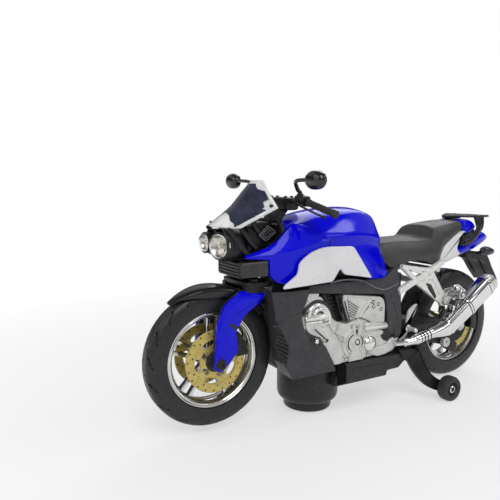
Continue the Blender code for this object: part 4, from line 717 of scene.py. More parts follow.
piece("headlight_cover", lamp_cover(LAMPS[0]) + lamp_cover(LAMPS[1]), clear_cover, "headlight_lens", 50)
silver_paint = finish("silver_paint", (0.56, 0.56, 0.54), 0.3, 0.45, tone=0.08, spots=300, grain=2600,
                      depth=0.016, uneven=0.25)
dash = [(FX - 6.6, LAMP_Z - 0.4), (FX - 5.9, LAMP_Z - 0.5), (FX - 5.7, LAMP_Z + 2.4),
        (FX - 6.3, LAMP_Z + 2.5)]
piece("headlight_trim", both([plate(dash, 13.2, 14.25, 0.15, 0.3)]), silver_paint)


# ---- chin grille and nose cheeks ----
# A dark grey slatted chin moulded in one under the lamps, and smooth cheek covers, clipped on each
# side of it, that run back to the tank's wings.

chin_grey = finish("chin_grey", (0.032, 0.031, 0.033), 0.45, tone=0.18, spots=260, grain=2200,
                   depth=0.03, dust=0.1)
CHIN = [(FX - 18.0, -12.2), (FX - 13.2, -12.4), (FX - 12.4, -11.6), (FX - 12.4, 11.6), (FX - 13.2, 12.4),
        (FX - 18.0, 12.2)]
skins = [plate(inward(np.array(CHIN), 0.9), FZ + 45.4, FZ + 53.6, 0.4, 0.8, "Z")]
for k in range(5):
    low = FZ + 45.1 + k * 1.78
    skins.append(plate(CHIN, low, low + 1.15, 0.3, 1.6, "Z"))
piece("nose_grille_slats", skins, chin_grey, "nose_grille", 30)


def cheek():
    """Plan outline carried up from the lower to the upper edge, leaning with the nose and pulled in at
    both edges."""
    plan = soft_corners([(FX - 12.8, 12.9), (FX - 13.0, 14), (FX - 26.0, 21), (FX - 26.2, 17.8),
                         (FX - 17.0, 12.9)], 1)
    rows = [(0, 0.5), (0.06, 0.12), (0.16, 0), (0.84, 0), (0.94, 0.12), (1, 0.5)]
    rings = []
    for share, pull in rows:
        x, y = inward(plan, pull).T
        rings.append(grid(x, y, FZ + 45.2 + 8.2 * share + (FX - 12 - x) * 0.1))
    return skin(np.array(rings))


for word, side in SIDES:
    name = "nose_cheek_" + word
    piece(name + "_cover", sided([cheek()], side), chin_grey, name, 30)


# ---- windscreen ----
# A blown clear screen with a milky border, pale cut edges and a smoked field printed inside, held
# by four small screws on black struts that rise from the nacelle.

screen_clear = finish("screen_clear", (0.93, 0.93, 0.92), 0.06, tone=0.01, spots=60, grain=120,
                      depth=0.001, uneven=0.4, clear=0.42, shine=0.5, bend=1.1)
screen_edge = finish("screen_edge", (0.9, 0.9, 0.9), 0.2, tone=0.03, spots=200, grain=900, depth=0.002,
                     clear=0.2)
screen_smoke = finish("screen_smoke", (0.05, 0.055, 0.09), 0.08, tone=0.3, spots=150, grain=700,
                      depth=0.006, uneven=0.5, clear=0.35)
SCREEN = [
    (FX - 2.0, 18, 7.2, FZ + 73.2), (FX - 8.5, 19.1, 12, FZ + 78.4), (FX - 15.0, 20.2, 16.8, FZ + 83.7),
    (FX - 21.6, 14, 8.9, FZ + 91.0), (FX - 28.2, 6.6, 2.6, FZ + 98.3)]


def screen_point(up, across, off=0.0):
    """Point of the screen: straight rows between the shaped stations, each bowed back as the 1.7 power
    of the share across; off lifts it along the screen's slope."""
    rows = np.array(SCREEN)
    span = np.linspace(0, 1, len(rows))
    x, wide, bow, z = (np.interp(up, span, rows[:, k]) for k in range(4))
    return grid(x - bow * np.abs(across) ** 1.7 + off * 0.78, wide * across, z + off * 0.62)


def slab(front, back):
    """A closed thin sheet between two like grids: both faces, and strips round the four edges."""
    rows, columns = front.shape[:2]
    f = np.arange(rows * columns).reshape(rows, columns)
    b = f + rows * columns
    quads = [np.stack([g[:-1, :-1], g[:-1, 1:], g[1:, 1:], g[1:, :-1]], -1).reshape(-1, 4)
             for g in (f, b)]
    for line_f, line_b in ((f[0], b[0]), (f[-1], b[-1]), (f[:, 0], b[:, 0]), (f[:, -1], b[:, -1])):
        quads.append(np.stack([line_f[:-1], line_f[1:], line_b[1:], line_b[:-1]], -1))
    points = np.concatenate([front.reshape(-1, 3), back.reshape(-1, 3)])
    return points, np.concatenate(quads).tolist()


up, across = np.meshgrid(np.linspace(0, 1, 49), np.linspace(-1, 1, 41), indexing="ij")
piece("windscreen_clear", [slab(screen_point(up, across), screen_point(up, across, -0.9))], screen_clear,
      "windscreen", 30)
share, across = np.meshgrid(np.linspace(0, 1, 61), np.linspace(-1, 1, 41), indexing="ij")
low = np.interp(np.abs(across), (0, 0.25, 0.55, 0.95, 1), (0.35, 0.29, 0.15, 0.05, 0.05))
up = low + (0.93 - low) * share
across = across * np.interp(up, (0.05, 0.42, 0.46, 0.59, 0.63, 0.79, 0.83, 0.9, 0.93),
                            (0.88, 0.92, 0.8, 0.78, 0.92, 0.9, 0.64, 0.53, 0.5))
piece("windscreen_smoke", [slab(screen_point(up, across, 0.14), screen_point(up, across, 0.05))],
      screen_smoke)
rim_line = []
for s in (-1, 1):
    u = np.linspace(0.004, 0.996, 60)[:, None]
    a = s * np.array([[0.955, 0.995]])
    rim_line.append(slab(screen_point(u, a, 0.13), screen_point(u, a, -0.02)))
piece("windscreen_rim", rim_line, screen_edge)
fixings = []
for u, a in ((0.05, 0.82), (0.05, -0.82), (0.52, 0.91), (0.52, -0.91)):
    spot = screen_point(np.array(u), np.array(a))
    fixings.append(turned([(0, -3.4), (0.75, -3.4), (0.75, 0.25), (1, 0.25), (1, 0.6), (0.6, 0.85),
                           (0, 0.85)], spot, "X", 20))
piece("windscreen_screws", fixings, boss_black)


# ---- dash block ----
# The black moulded block behind the lamps: two round dial rims facing the rider, side struts up to
# the screen, a small grey-edged frame on each side, and the apron that closes the tank's front.

def tube(points, radii, sides=16, samples=40, flat=1.0, up=(0, 0, 1)):
    """A round section carried along a smooth curve, standing square to it; flat squeezes it along up."""
    path = spline(points, samples)
    size = spline(np.array(radii, float)[:, None], samples)
    way = unit(np.gradient(path, axis=0))
    side = unit(np.cross(way, np.array(up, float)))
    top = np.cross(side, way)
    t = circle(sides)[:, None]
    ring = side[:, None] * np.cos(t) + top[:, None] * np.sin(t) * flat
    return skin(path[:, None] + ring * size[:, None])


rows = [(-34.5, 10, 64.5, 74.5), (-34, 10.4, 64, 75), (-27, 12.3, 61, 75.5), (-19, 11.8, 57.4, 73),
        (-18.5, 11.2, 58, 72.4)]
rings = []
for x, half, low, high in rows:
    box_ring = soft_corners([(-half, low), (half, low), (half - 1.2, high), (1.2 - half, high)], 1.8)
    rings.append(grid(FX + x, box_ring[:, 0], box_ring[:, 1] + FZ))
skins = [skin(np.array(rings))]
for y in (-4.4, 4.4):
    skins += [
        turned([(3.1, 0), (3.7, 0), (3.7, -1.5), (3.4, -1.8), (3.1, -1.5)], (FX - 34.2, y, FZ + 70), "X",
               36, closed=True),
        rod(3.2, 0, -0.5, (FX - 34.2, y, FZ + 70), "X", 36)]
piece("instrument_block", skins, moulded_black, "instrument_pod", 30)
struts = []
for a, b, w in (((-5.8, 12.6, 72.6), (-18.6, 13.2, 56.6), 1.7),
                ((-13.2, 12.4, 72.8), (-22.8, 13.4, 61), 1.5), ((-20, 11.6, 78.2), (-25, 12, 70), 1.6),
                ((-27, 10.6, 88), (-36, 9.4, 76), 1.3)):
    a, b = np.array(a) + (FX, 0, FZ), np.array(b) + (FX, 0, FZ)
    struts.append(tube([a, (a * 2 + b) / 3, (a + 2 * b) / 3, b], [w * 0.8, w, w, w * 0.8], 12, 12, 0.8,
                       (0, 1, 0)))
side_box = np.array([(-23.8, 68.4), (-30, 73.6), (-35.4, 69.6), (-28.6, 64.8)]) + (FX, FZ)
struts += [plate(side_box, 9, 13.3, 0.4, 0.8), plate(inward(side_box, 2.6), 12.6, 14.2, 0.3, 0.6)]
piece("screen_struts", both(struts), moulded_black)
line = []
for inset, low, high in ((0, 13.2, 13.8), (1.5, 13.2, 13.6)):
    frame_line = inward(soft_corners(side_box, 0.8), inset)
    inner_line = inward(frame_line, 0.32)
    corners = (frame_line, low), (frame_line, high), (inner_line, high), (inner_line, low)
    line.append(skin(np.array([np.insert(ring, 1, level, 1) for ring, level in corners]), ring=True))
line.append(tube([(FX - 35.8, 5, FZ + 72.0), (FX - 35.8, 8.6, FZ + 73.6), (FX - 36.4, 12.6, FZ + 73.8)],
                 [0.5] * 3, 10, 20))
trim_grey = finish("trim_grey", (0.2, 0.2, 0.19), 0.35, 0.4, tone=0.2, spots=400, grain=1800, depth=0.01)
piece("dash_trim", both(line), trim_grey)
apron = [(-17, 98), (17, 98), (18.4, 106), (17.6, 113), (13, 118), (-13, 118), (-17.6, 113),
         (-18.4, 106)]
piece("tank_apron", [plate(apron, 55, 57.6, 0.8, 1.6, "X")], moulded_black)


# ---- handlebar, grips and levers ----
# One black bar held by its clamp on the stem, with square switch boxes and thin levers moulded on,
# and a soft ribbed rubber grip with a collar at each end pushed over it.

grip_rubber = finish("grip_rubber", (0.024, 0.023, 0.023), 0.62, tone=0.2, spots=500, grain=2600,
                     depth=0.05, dust=0.12)
BAR_Z = FZ + 87.0
BAR_IN, BAR_OUT = np.array((FX - 49.0, 20, BAR_Z)), np.array((FX - 51.8, 44.5, BAR_Z - 6.6))


def block(low, corners_low, high, corners_high):
    """A box between two four-cornered ends, its long edges rounded and its ends turned in."""
    ends = np.insert(corners_low, 1, low, 1), np.insert(corners_high, 1, high, 1)
    rings = []
    for share, pull in ((0, 0.5), (0.08, 0.1), (0.16, 0), (0.84, 0), (0.92, 0.1), (1, 0.5)):
        four = ends[0] * (1 - share) + ends[1] * share
        centre = four.mean(0)
        four = (centre + (four - centre) * (1 - pull / 4.0))[:, None]
        t = np.linspace(0, 1, 4)[None, :, None]
        a, b = (four + (np.roll(four, way, 0) - four) * 0.18 for way in (1, -1))
        rings.append(eased(a, four, b, t).reshape(-1, 3))
    return skin(np.array(rings))


x, z = BAR_IN[0], BAR_IN[2]
line = [(BAR_OUT[0], -BAR_OUT[1], BAR_OUT[2]), (x - 1.0, -30, z - 2.4), (x, -20, z),
        (x + 2, -10, z - 1.0), (x + 2, 0, z - 1.0), (x + 2, 10, z - 1.0), (x, 20, z),
        (x - 1.0, 30, z - 2.4), tuple(BAR_OUT)]
skins = [tube(line, [1] * 9, 16, 90)]
boxes = [
    block(17, rect(x - 3.0, x + 4.4, z - 3.0, z + 3.0), 22.8, rect(x - 3.0, x + 3.6, z - 3.4, z + 2.4)),
    pot((x + 3.2, 0, z + 0.2), 22.4, 23.3, 1),
    plate(rect(x - 2.2, x + 0.4, z - 2.4, z - 0.9), 22.4, 23.4, 0.3, 0.4),
    tube([(x + 3.4, 20.5, z - 1.0), (x + 6.0, 25, z - 2.4), (x + 5.6, 34, z - 5.0),
          (x + 3.2, 42.6, z - 8.0)], [1.2, 0.9, 0.8, 0.75], 12, 30, 0.7),
    turned([(0, -1), (1, -0.8), (1.1, 0), (0.8, 0.8), (0, 1)], (x + 3.2, 42.6, z - 8.0), "Y", 20)]
skins += both(boxes)
clamp = rect(x - 3.4, x + 5.9, z - 5.9, z + 1.6)
skins.append(block(-11, clamp, 11, clamp))
stem = np.array([(-42.8, 66.4), (-36.8, 65), (-38, 76), (-42, 81.6), (-49, 81.6),
                 (-44.4, 76)]) + (FX, FZ)
skins.append(plate(stem, -6, 6, 0.8, 1.5))
for y in (-7.5, 7.5):
    for dx in (-0.6, 3.6):
        skins.append(turned([(0, 1.2), (1.1, 1.2), (1.1, 2.1), (0.8, 2.4), (0, 2.4)], (x + dx, y, z),
                            "Z", 6))
piece("handlebar_moulded", skins, moulded_black, "handlebar", 30)


def grip(word, side):
    """Radius along the bar: a collar at each end and even ribs between, a raised sine held above 1.8."""
    length = np.linalg.norm(BAR_OUT - BAR_IN)
    along = (BAR_OUT - BAR_IN) / length
    t = np.linspace(3.9, length + 0.95, 150)
    ribs = 1.78 + 0.16 * np.clip(np.sin((t - 6) * 2 * np.pi / 1.25) * 1.6, -1, 1)
    collar = np.maximum(smooth_step((5.4 - t) / 0.3), smooth_step((t - length + 2.0) / 0.3))
    r = ribs * (1 - collar) + 2.2 * collar
    r[0] = r[-1] = 1.3
    r[1] = r[-2] = 2.05
    across = unit(np.cross(along, (0, 0, 1)))
    top = np.cross(across, along)
    a = circle(28)[:, None]
    ring = across * np.cos(a) + top * np.sin(a)
    points = (BAR_IN + t[:, None] * along)[:, None] + ring[None] * r[:, None, None]
    name = "grip_" + word
    piece(name + "_ribbed", sided([skin(points)], side), grip_rubber, name, 40)


for word, side in SIDES:
    grip(word, side)


# ---- mirrors ----
# Oval gloss-black mirror heads on bent stems that stand on the handlebar, with a raised rim and a
# silvered face to the rider.

mirror_black = finish("mirror_black", (0.014, 0.014, 0.015), 0.16, spots=200, grain=1500, depth=0.008,
                      uneven=0.3, coat=0.3)
mirror_glass = finish("mirror_glass", (0.75, 0.77, 0.78), 0.05, 1, tone=0.03, spots=300, grain=800,
                      depth=0.002)
MIRROR = np.array((FX - 38.4, 44, FZ + 98.0))


def mirror_oval(rows):
    """Oval sections of a mirror head, one for each row of depth and scale."""
    depth, scale = np.array(rows).T[..., None]
    turn = circle(48)
    return skin(grid(depth, scale * 7.6 * np.cos(turn), scale * 4.9 * np.sin(turn)) + MIRROR)


foot = BAR_IN + (1.6, -1, 3)
stem = [foot, foot + (0.3, 0.2, 1.4), foot + (2.6, 1, 3.4), (foot[0] + 6.8, 24.5, MIRROR[2] - 0.8),
        MIRROR + (-0.4, -12, 0.1), MIRROR + (-0.4, -5, 0)]
shell = [
    mirror_oval([(-2.55, 0.80), (-2.6, 0.93), (-2.2, 0.985), (-0.6, 1), (0.5, 0.97), (1.5, 0.83),
                 (2.2, 0.6), (2.5, 0.34), (2.6, 0)]),
    tube(stem, [1.5, 1.2, 1.15, 1.1, 1.05, 1.1], 14, 50),
    turned([(0, -0.4), (2, -0.4), (2, 0.5), (1.5, 0.9), (0, 0.9)], foot, "Z", 24)]
glass = [mirror_oval([(-2.68, 0), (-2.7, 0.4), (-2.66, 0.78), (-2.4, 0.79), (-2.4, 0)])]
for word, side in SIDES:
    name = "mirror_" + word
    piece(name + "_shell", sided(shell, side), mirror_black, name, 35)
    piece(name + "_glass", sided(glass, side), mirror_glass)


# ---- tank cover and its wings ----
# A blue gloss shell moulded in one with flaps that reach down behind the side panels; a creased wing
# clipped to each flank runs forward to a point over the cheek.

PANEL_IN = 25.9
TANK_WALL = 1.5
# per station: x, crown z, shoulder z, half width, low edge z, low edge half width
tank_rows = np.array(
    [(-15.5, 112.6, 104, 17.2, 83.2, 23.9), (-12.6, 118.4, 105.2, 19.6, 82, 24.8),
     (-10, 120.9, 106, 21.2, 81.4, 25.2), (0, 123.4, 108.5, 24, 81.8, 25.5),
     (12, 123.6, 109.5, 26, 86, 25.5), (26, 122.4, 109.5, 26.6, 89, 25.5), (38, 119.8, 109, 26, 91, 25),
     (48.5, 115.6, 105.4, 22.8, 93, 23.4)])


def tank_shell():
    """Crown, shoulder and flap stations splined across and along; the wall is the same surface moved
    in along its normals, and both ends close on the middle line."""
    rows = spline(tank_rows, 72)
    x, top, shoulder, wide, low, low_half = rows.T
    half = np.array(
        [(0 * x, top), (wide * 0.34, top - 0.7), (wide * 0.66, top - 3.3), (wide * 0.93, shoulder + 2.4),
         (wide, shoulder - 1.4), (wide * 0.965, shoulder - 6.0),
         ((wide + low_half) / 2 - 0.2, (shoulder + low) / 2 - 2.0), (low_half, low)])
    half = half.transpose(2, 0, 1)
    ring = np.concatenate([half[:, ::-1] * np.array((-1, 1)), half[:, 1:]], 1)
    ring = spline(ring, 97, axis=1)
    x = x[:, None]
    swept = x + 5.6 * smooth_step((np.abs(ring[..., 0]) - 8) / 9) * smooth_step((x - 36) / 12.5)
    outer = np.concatenate([swept[..., None], ring], 2)
    normal = unit(np.cross(np.gradient(outer, axis=0), np.gradient(outer, axis=1)))
    inner = outer - normal * np.sign(normal[36, 48, 2]) * TANK_WALL

    def closed_ends(sheet, step):
        squeeze = [(0, -0.9), (0.8, -0.85), (0.93, -0.6), (0.985, -0.2)]
        front = [sheet[-1] * (1, k, 1) - (step + s, 0, (1 - k) * 0.6) for k, s in squeeze[::-1]]
        back = [sheet[0] * (1, k, 1) + (step + s, 0, -(1 - k) * 0.6) for k, s in squeeze]
        return np.concatenate([back, sheet, front])

    outer, inner = closed_ends(outer, 0), closed_ends(inner, TANK_WALL)
    return skin(np.concatenate([outer, inner[:, ::-1]], 1), ends=False)


# per station: x, top z, top y, crease z, crease y, low z
wing_rows = np.array(
    [(31.5, 107.4, 26.3, 106.4, 27, 101.6), (36.2, 109.9, 25.1, 105.9, 27, 98),
     (40.8, 113, 22, 105, 26.8, 94.6), (45.3, 115, 19.4, 103.9, 26.4, 91.4),
     (51, 116.2, 18.6, 102.6, 25.8, 87.4), (54.4, 114, 19.6, 101.9, 25.3, 85.2),
     (58.6, 110.2, 20.2, 101.2, 24.7, 83.2), (62.6, 106.6, 20, 100.7, 23.8, 84.3),
     (66.6, 104, 18.4, 100, 22.2, 88.3), (67.6, 103.4, 18, 99.8, 21.6, 97),
     (74, 100.8, 15.7, 99.1, 18.4, 97.4), (79, 99, 13.7, 98.4, 15.2, 97.6)])


def wing():
    """A thin shell over the wing's stations: top edge, soft roll, crease, flank and low edge outside,
    and the same line a wall's thickness further in."""
    x = np.unique(np.concatenate([np.linspace(31.5, 79, 60), wing_rows[:, 0]]))
    low = np.interp(x, wing_rows[:, 0], wing_rows[:, 5])
    smooth = spline(wing_rows, 120)
    top, top_y, crease, crease_y = (np.interp(x, smooth[:, 0], smooth[:, k]) for k in (1, 2, 3, 4))
    steps = np.array([(0, 0), (0.02, 0.1), (0.17, 0.34), (0.4, 0.62), (0.68, 0.84), (0.92, 0.965),
                      (1, 1)])
    upper_y = top_y[:, None] + (crease_y - top_y)[:, None] * steps[:, 1]
    upper_z = top[:, None] + (crease - top)[:, None] * steps[:, 0]
    share = np.array([0.03, 0.12, 0.3, 0.5, 0.75, 0.96, 1])
    lean = np.array([0.1, 0.3, 0.62, 0.95, 1.25, 1.55, 1.9])
    lower_z = crease[:, None] + (low - crease)[:, None] * share
    lower_y = crease_y[:, None] - lean * np.clip((crease - low) / 9.0, 0.3, 1.3)[:, None]
    y, z = np.hstack([upper_y, lower_y]), np.hstack([upper_z, lower_z])
    thick = np.clip((crease_y - 12.5) * 0.16, 0.7, 1.5)[:, None]
    inner_y, inner_z = y[:, ::-1] - thick, z[:, ::-1] - 0.35
    return skin(grid(x[:, None], np.hstack([y, inner_y]), np.hstack([z, inner_z])))


tip = [(-4.6, 91), (-8.4, 88.6), (-14.8, 85.4), (-12.8, 80.8), (-3.6, 81.4)]
piece("tank_shell", [tank_shell()], gloss_blue, "tank_cover", 35)
piece("tank_wings", both([wing(), plate(tip, 22.5, 24.9, 0.8, 0.7)]), gloss_blue, sharp=22)
joint_dark = finish("joint_dark", (0.004, 0.004, 0.03), 0.5, spots=400, grain=2600, depth=0.01)
piece("wing_joints",
      both([tube([(31.3, 26.6, 107.3), (31.3, 26.9, 105), (31.6, 26.5, 102.2)], [0.22] * 3, 8, 12)]),
      joint_dark)


# ---- side panels ----
# Bare pearl-white moulded panels, one clipped to each flank between the tank's wing and the frame
# cover, with a notch over the frame and softly rounded edges.

pearl_white = finish("pearl_white", (0.76, 0.76, 0.77), 0.28, 0.06, tone=0.02, spots=60, grain=3200,
                     depth=0.004, uneven=0.2, coat=0.3)
panel_outline = [
    (62.6, 81.4), (61.4, 83.4), (53.4, 88.6), (52.7, 91), (52.3, 94.4), (49, 97.4), (43.6, 100.6),
    (37, 102.5), (32, 102.8), (15.6, 102.2), (14, 101.2), (0, 82.4), (21.2, 86.2), (24, 90.4),
    (29.4, 82.8)]
for word, side in SIDES:
    name = "side_panel_" + word
    piece(name + "_pearl", sided([plate(panel_outline, PANEL_IN, PANEL_IN + 2, 0.45, 1.8)], side),
          pearl_white, name, 30)


# ---- body halves ----
# Two dark grey moulded halves screwed together on the middle line. Their broad frame covers show
# between the panel and the engine, each with a raised rib carrying a pale strip of painted highlight
# along its top, and round bosses at the rear.

def keep_solid(node, material):
    """A moulded part that is already the right shape keeps its mesh and gets its finish."""
    for kept in bpy.data.objects[node].material_slots:
        kept.material = material


body_grey = finish("body_grey", (0.04, 0.041, 0.046), 0.44, spots=120, grain=2200, depth=0.03,
                   uneven=0.2, dust=0.06)
for word, side in SIDES:
    keep_solid("body_half_" + word, body_grey)


def bead(points, width, base, height):
    """A raised line on a side face: its path in x and z, its section a low arch of six points, and the
    ends drawn in."""
    path = spline(points, max(14, 8 * len(points)))
    way = unit(np.gradient(path, axis=0))
    across = np.stack([-way[:, 1], way[:, 0]], 1)
    u = np.array([-0.5, -0.48, -0.28, 0.28, 0.48, 0.5]) * width
    v = np.array([0, 0.6, 1, 1, 0.6, 0]) * height
    fit = np.ones(len(path))
    fit[0] = fit[-1] = 0.5
    xz = path[:, None] + across[:, None] * (u * fit[:, None])[..., None]
    return skin(grid(xz[..., 0], base + v * fit[:, None] ** 0.5, xz[..., 1]))


rib_line = [(27.9, 81.2), (16.8, 82.2), (3.8, 80.4), (-6.7, 75.4), (-14.9, 73.4), (-25.7, 76.2)]
cover_skins = [
    bead(rib_line, 1.5, 22.7, 0.75),
    bead([(-25.4, 75), (-21, 68.4), (-24.8, 60), (-28.2, 50)], 1.3, 22.7, 0.6),
    pot((-26.3, 0, 44.8), 22.4, 24, 3), pot((-25.4, 0, 82), 22.4, 23.4, 1.4),
    plate([(24, 79.6), (15, 80.4), (4, 78.6), (-5.6, 74), (-9.6, 71.4), (16, 74.6)], 22.6, 23.35, 0.35,
          1.5)]
piece("frame_cover_relief", both(cover_skins), body_grey)
# A pale grey strip along the rib's top: painted highlight.
painted_rib_highlight = finish("painted_rib_highlight", (0.19, 0.19, 0.195), 0.4, tone=0.2, spots=300, grain=2400, depth=0.01)
piece("frame_cover_highlight_strips", both([bead(rib_line, 0.55, 23.35, 0.16)]), painted_rib_highlight)


# ---- engine reliefs ----
# Satin silver-painted castings on both flanks: ribbed head block, bent pipes, slotted case, clutch
# with its arms, polished dome, starter barrel, leaf-shaped arm and the heel plate with its peg. Dark
# grey and near-black strips, rings and caps in the recesses and between the ribs are painted shade.

engine_silver = finish("engine_silver", (0.61, 0.61, 0.59), 0.34, 0.3, tone=0.07, spots=180, grain=2600,
                       uneven=0.25, dust=0.05)
engine_bright = finish("engine_bright", (0.76, 0.76, 0.74), 0.2, 0.6, tone=0.05, spots=140, grain=1600,
                       depth=0.008, uneven=0.3)
# Near black for recesses, grooves and gaps: painted shade.
recess_shade = finish("recess_shade", (0.03, 0.03, 0.031), 0.55, spots=420, grain=2600)
case_line = [
    (23.4, 31.6), (-22.6, 32.8), (-24.6, 35), (-20, 39.4), (-14.4, 41.6), (-10, 49.6), (4, 57),
    (16, 55.4), (24, 58.6), (29.5, 66), (33, 73.6), (42.4, 74.6), (45.2, 69.6), (47.6, 63.6), (45.6, 56),
    (34.2, 48.6), (31.6, 45.4)]
head_line = [(17, 73.2), (-12.8, 68.9), (-15.6, 66.4), (-16.4, 63), (-16.2, 52), (-10, 46), (4, 48),
             (6, 54.1), (12.6, 55.8), (17.6, 69.4)]
castings = [
    plate(case_line, 15.4, 23, 0.9, 1.8), plate(head_line, 15.4, 22.4, 0.9, 1.4),
    plate([(24, 31.8), (18.4, 32), (17.8, 38), (20.2, 45.5), (26.2, 50.2), (33.2, 46.4), (30.4, 43.4)],
          22.4, 23.9, 1.3, 1.4),
    plate([(46, 60.6), (43.6, 54.2), (38.8, 50.9), (30, 46.7), (27.4, 48.2), (28.2, 55), (33.5, 59.6)],
          22.6, 24, 0.6), bead([(40.9, 57.2), (30, 47.6)], 2.7, 23.8, 0.8),
    bead([(36.8, 60.2), (35.6, 58), (33.1, 56.9), (30, 58.4)], 1.5, 23.7, 0.8),
    plate([(28.4, 59.4), (14.9, 55.4), (12.2, 53.6), (12.8, 49.2), (15.4, 46.8), (25, 51.2),
           (27.4, 54.6)], 22.8, 23.8, 0.5)]
castings += [
    plate([(x - 0.7, z - 0.6), (x + 0.7, z - 0.3), (x + 0.7, z + 0.7), (x - 0.7, z + 0.4)], 23.4, 24.5,
          0.25, 0.4) for x, z in ((21.6, 48.8), (20, 47.1), (18.1, 45.9), (16.6, 45.1))]
clutch = [
    (0, 22.4), (9.6, 22.4), (9.6, 23.4), (9.1, 23.9), (8, 23.9), (7.8, 23.4), (7, 23.4), (6.8, 23.9),
    (6, 23.9), (5.8, 23.2), (5.2, 23.2), (5, 24), (4.2, 24.3), (2.9, 24.3), (2.6, 24.8), (0, 24.8)]
castings += [
    turned(clutch, (8.6, 0, 43), steps=72), bead([(10.6, 54.4), (8.9, 47.4)], 1.9, 23.5, 1.1),
    bead([(4.9, 53.7), (6.6, 47.2)], 1.9, 23.5, 1.1),
    plate([(10.8, 40.6), (14, 32.2), (1.8, 32.2), (5, 40.2)], 23, 24.1, 0.4, 0.8),
    bead([(10.2, 40.8), (13.2, 32.8)], 0.9, 23.9, 0.6), bead([(5.3, 40.2), (2.5, 32.8)], 0.9, 23.9, 0.6)]
castings += [pot((x, 0, z), 22.6, 24.3, 0.75)
             for x, z in ((16.5, 35.9), (15.2, 33.9), (6, 33.9), (23.8, 56.2), (-22, 35.2))]
castings.append(plate([(0.8, 49.4), (-14, 48), (-14.8, 46), (-10.6, 43.4), (-5, 46.4), (0.8, 46.8)],
                      21.8, 23.2, 1, 1.2))
leaf = [(-0.9, 36.2), (-7, 38.3), (-12.6, 38.2), (-17.1, 39.2), (-19.6, 41.6), (-21.6, 42.4),
        (-23.6, 41.2), (-25.6, 37.6), (-22, 34.8), (-16, 32.6), (-9, 32.2), (-3, 34.2)]
castings += [
    plate(leaf, 22.4, 24.6, 0.9, 1.6), bead([(-21.8, 37.6), (-18.6, 35.6), (-12, 33.8)], 0.6, 24.4, 0.3),
    plate([(14.9, 71.8), (-3.4, 68.6), (-3.9, 67.8), (5.8, 57.4), (12.2, 57.2), (15.9, 68.4)], 21.9,
          22.9, 0.4)]
for k in range(7):
    start = np.array((14.6 - 0.35 * k, 70.3 - 1.8 * k))
    castings.append(bead([start, start - np.array((8.6, 5.6)) * (1 - 0.11 * k)], 0.75, 22.75, 0.5))
castings += [
    bead([(-4.6, 68.3), (5.2, 58.2)], 1.5, 22.3, 1),
    plate([(-5.6, 67.6), (-12, 66.5), (-14.3, 64), (-14.5, 55), (1.6, 55), (3.8, 57.2)], 21.9, 22.8,
          0.4), bead([(6.2, 58.4), (6.4, 54.8)], 1, 22.3, 0.9),
    bead([(-6.6, 65), (-4.6, 60), (-9, 57)], 0.5, 22.6, 0.35)]
head_bolts = ((-5.6, 66.4), (-10, 64.6), (-12.3, 61.4), (-6.2, 63.6), (-12.8, 56.8))
castings += [pot((x, 0, z), 22, 23.4, 0.8) for x, z in head_bolts]
castings.append(plate([(42.8, 76.3), (35.2, 75.8), (35.1, 74.2), (41.5, 71.5), (44.7, 74.2)], 20, 22.6,
                      0.4, 0.8))
heel = [(-23, 37.4), (-28.4, 37.6), (-34.8, 42), (-36.6, 49.6), (-41.2, 55), (-43.4, 61.6),
        (-39.4, 60.6), (-35, 57.4), (-33.8, 52), (-33.8, 45.6), (-27.6, 41.4), (-23.4, 41)]
castings += [plate(heel, 22.1, 23.6, 0.5, 1.8),
             plate(inward(soft_corners(heel, 1.8), 0.9), 23.2, 23.9, 0.25, 0.2)]
polished = [
    tube([(43, 23.6, 63.4), (42, 23.6, 67.2), (37.8, 23.6, 69.4), (32.6, 23.6, 67.9), (29.6, 23.6, 64.5),
          (28.3, 23.6, 60.5), (28.4, 23.5, 57.6)], [1.25] * 7, 14, 40),
    tube([(39.4, 23.7, 64), (37.2, 23.8, 66.4), (34, 23.8, 66.6), (31.4, 23.8, 64.4), (30.7, 23.8, 61.4),
          (31.4, 23.7, 59.6)], [1.15] * 6, 14, 36),
    turned([(0, 31.9), (1.2, 31.9), (1.75, 32.5), (1.75, 45.4), (1.5, 45.9), (0, 45.9)], (0, 23.7, 62.3),
           "X", 28), turned([(0, 34), (0.8, 34.2), (0.8, 45.2), (0, 45.4)], (0, 23.7, 59.6), "X", 20)]
dome = [(0, 22.6), (5.3, 22.6), (5.3, 23.7), (4.8, 24.1), (4.5, 23.9), (4.2, 24.2), (3.6, 24.9),
        (2.6, 25.5), (1.3, 25.85), (0, 25.95)]
polished.append(turned(dome, (-2.9, 0, 40.8), steps=64))
starter = [(0, -17), (1.9, -17), (2.3, -16.4), (2.5, -9), (2.7, -0.6), (3, -0.5), (3, 1.2), (2.6, 1.6),
           (0, 1.6)]
points, faces = turned(starter, (0, 22.4, 51.8), "X", 36)
points[:, 2] += points[:, 0] * 0.085
polished += [(points, faces), pot((7.7, 0, 43.7), 24.3, 25.3, 1.2)]
pin = place("engine_left")[1] + half_size("engine_left")[1]
polished.append(turned([(0, 22.2), (2.4, 22.2), (2.4, 24.1), (1.5, 24.4), (1.5, 25.2), (1.37, 25.4),
                        (1.37, pin - 0.5), (1, pin), (0, pin)], (-35.2, 0, 46.3), steps=32))
engine_shade = finish("engine_shade", (0.13, 0.13, 0.128), 0.5, spots=300, grain=2600)
shade = [
    plate([(15, 71), (12.6, 58.8), (9.4, 57.2), (5.6, 64.6)], 22, 22.96, 0.1, 0.5),
    bead([(24.4, 58), (18, 56), (4.2, 57.6), (-9.8, 50.4)], 0.8, 22.9, 0.16),
    bead([(20, 44.6), (18.6, 38.6), (19, 33)], 0.5, 22.95, 0.16),
    bead([(1.6, 48), (2.2, 42.4), (-0.8, 36.8), (-1, 33.4)], 0.7, 22.95, 0.16)]
piece("engine_shading", both(shade), engine_shade)
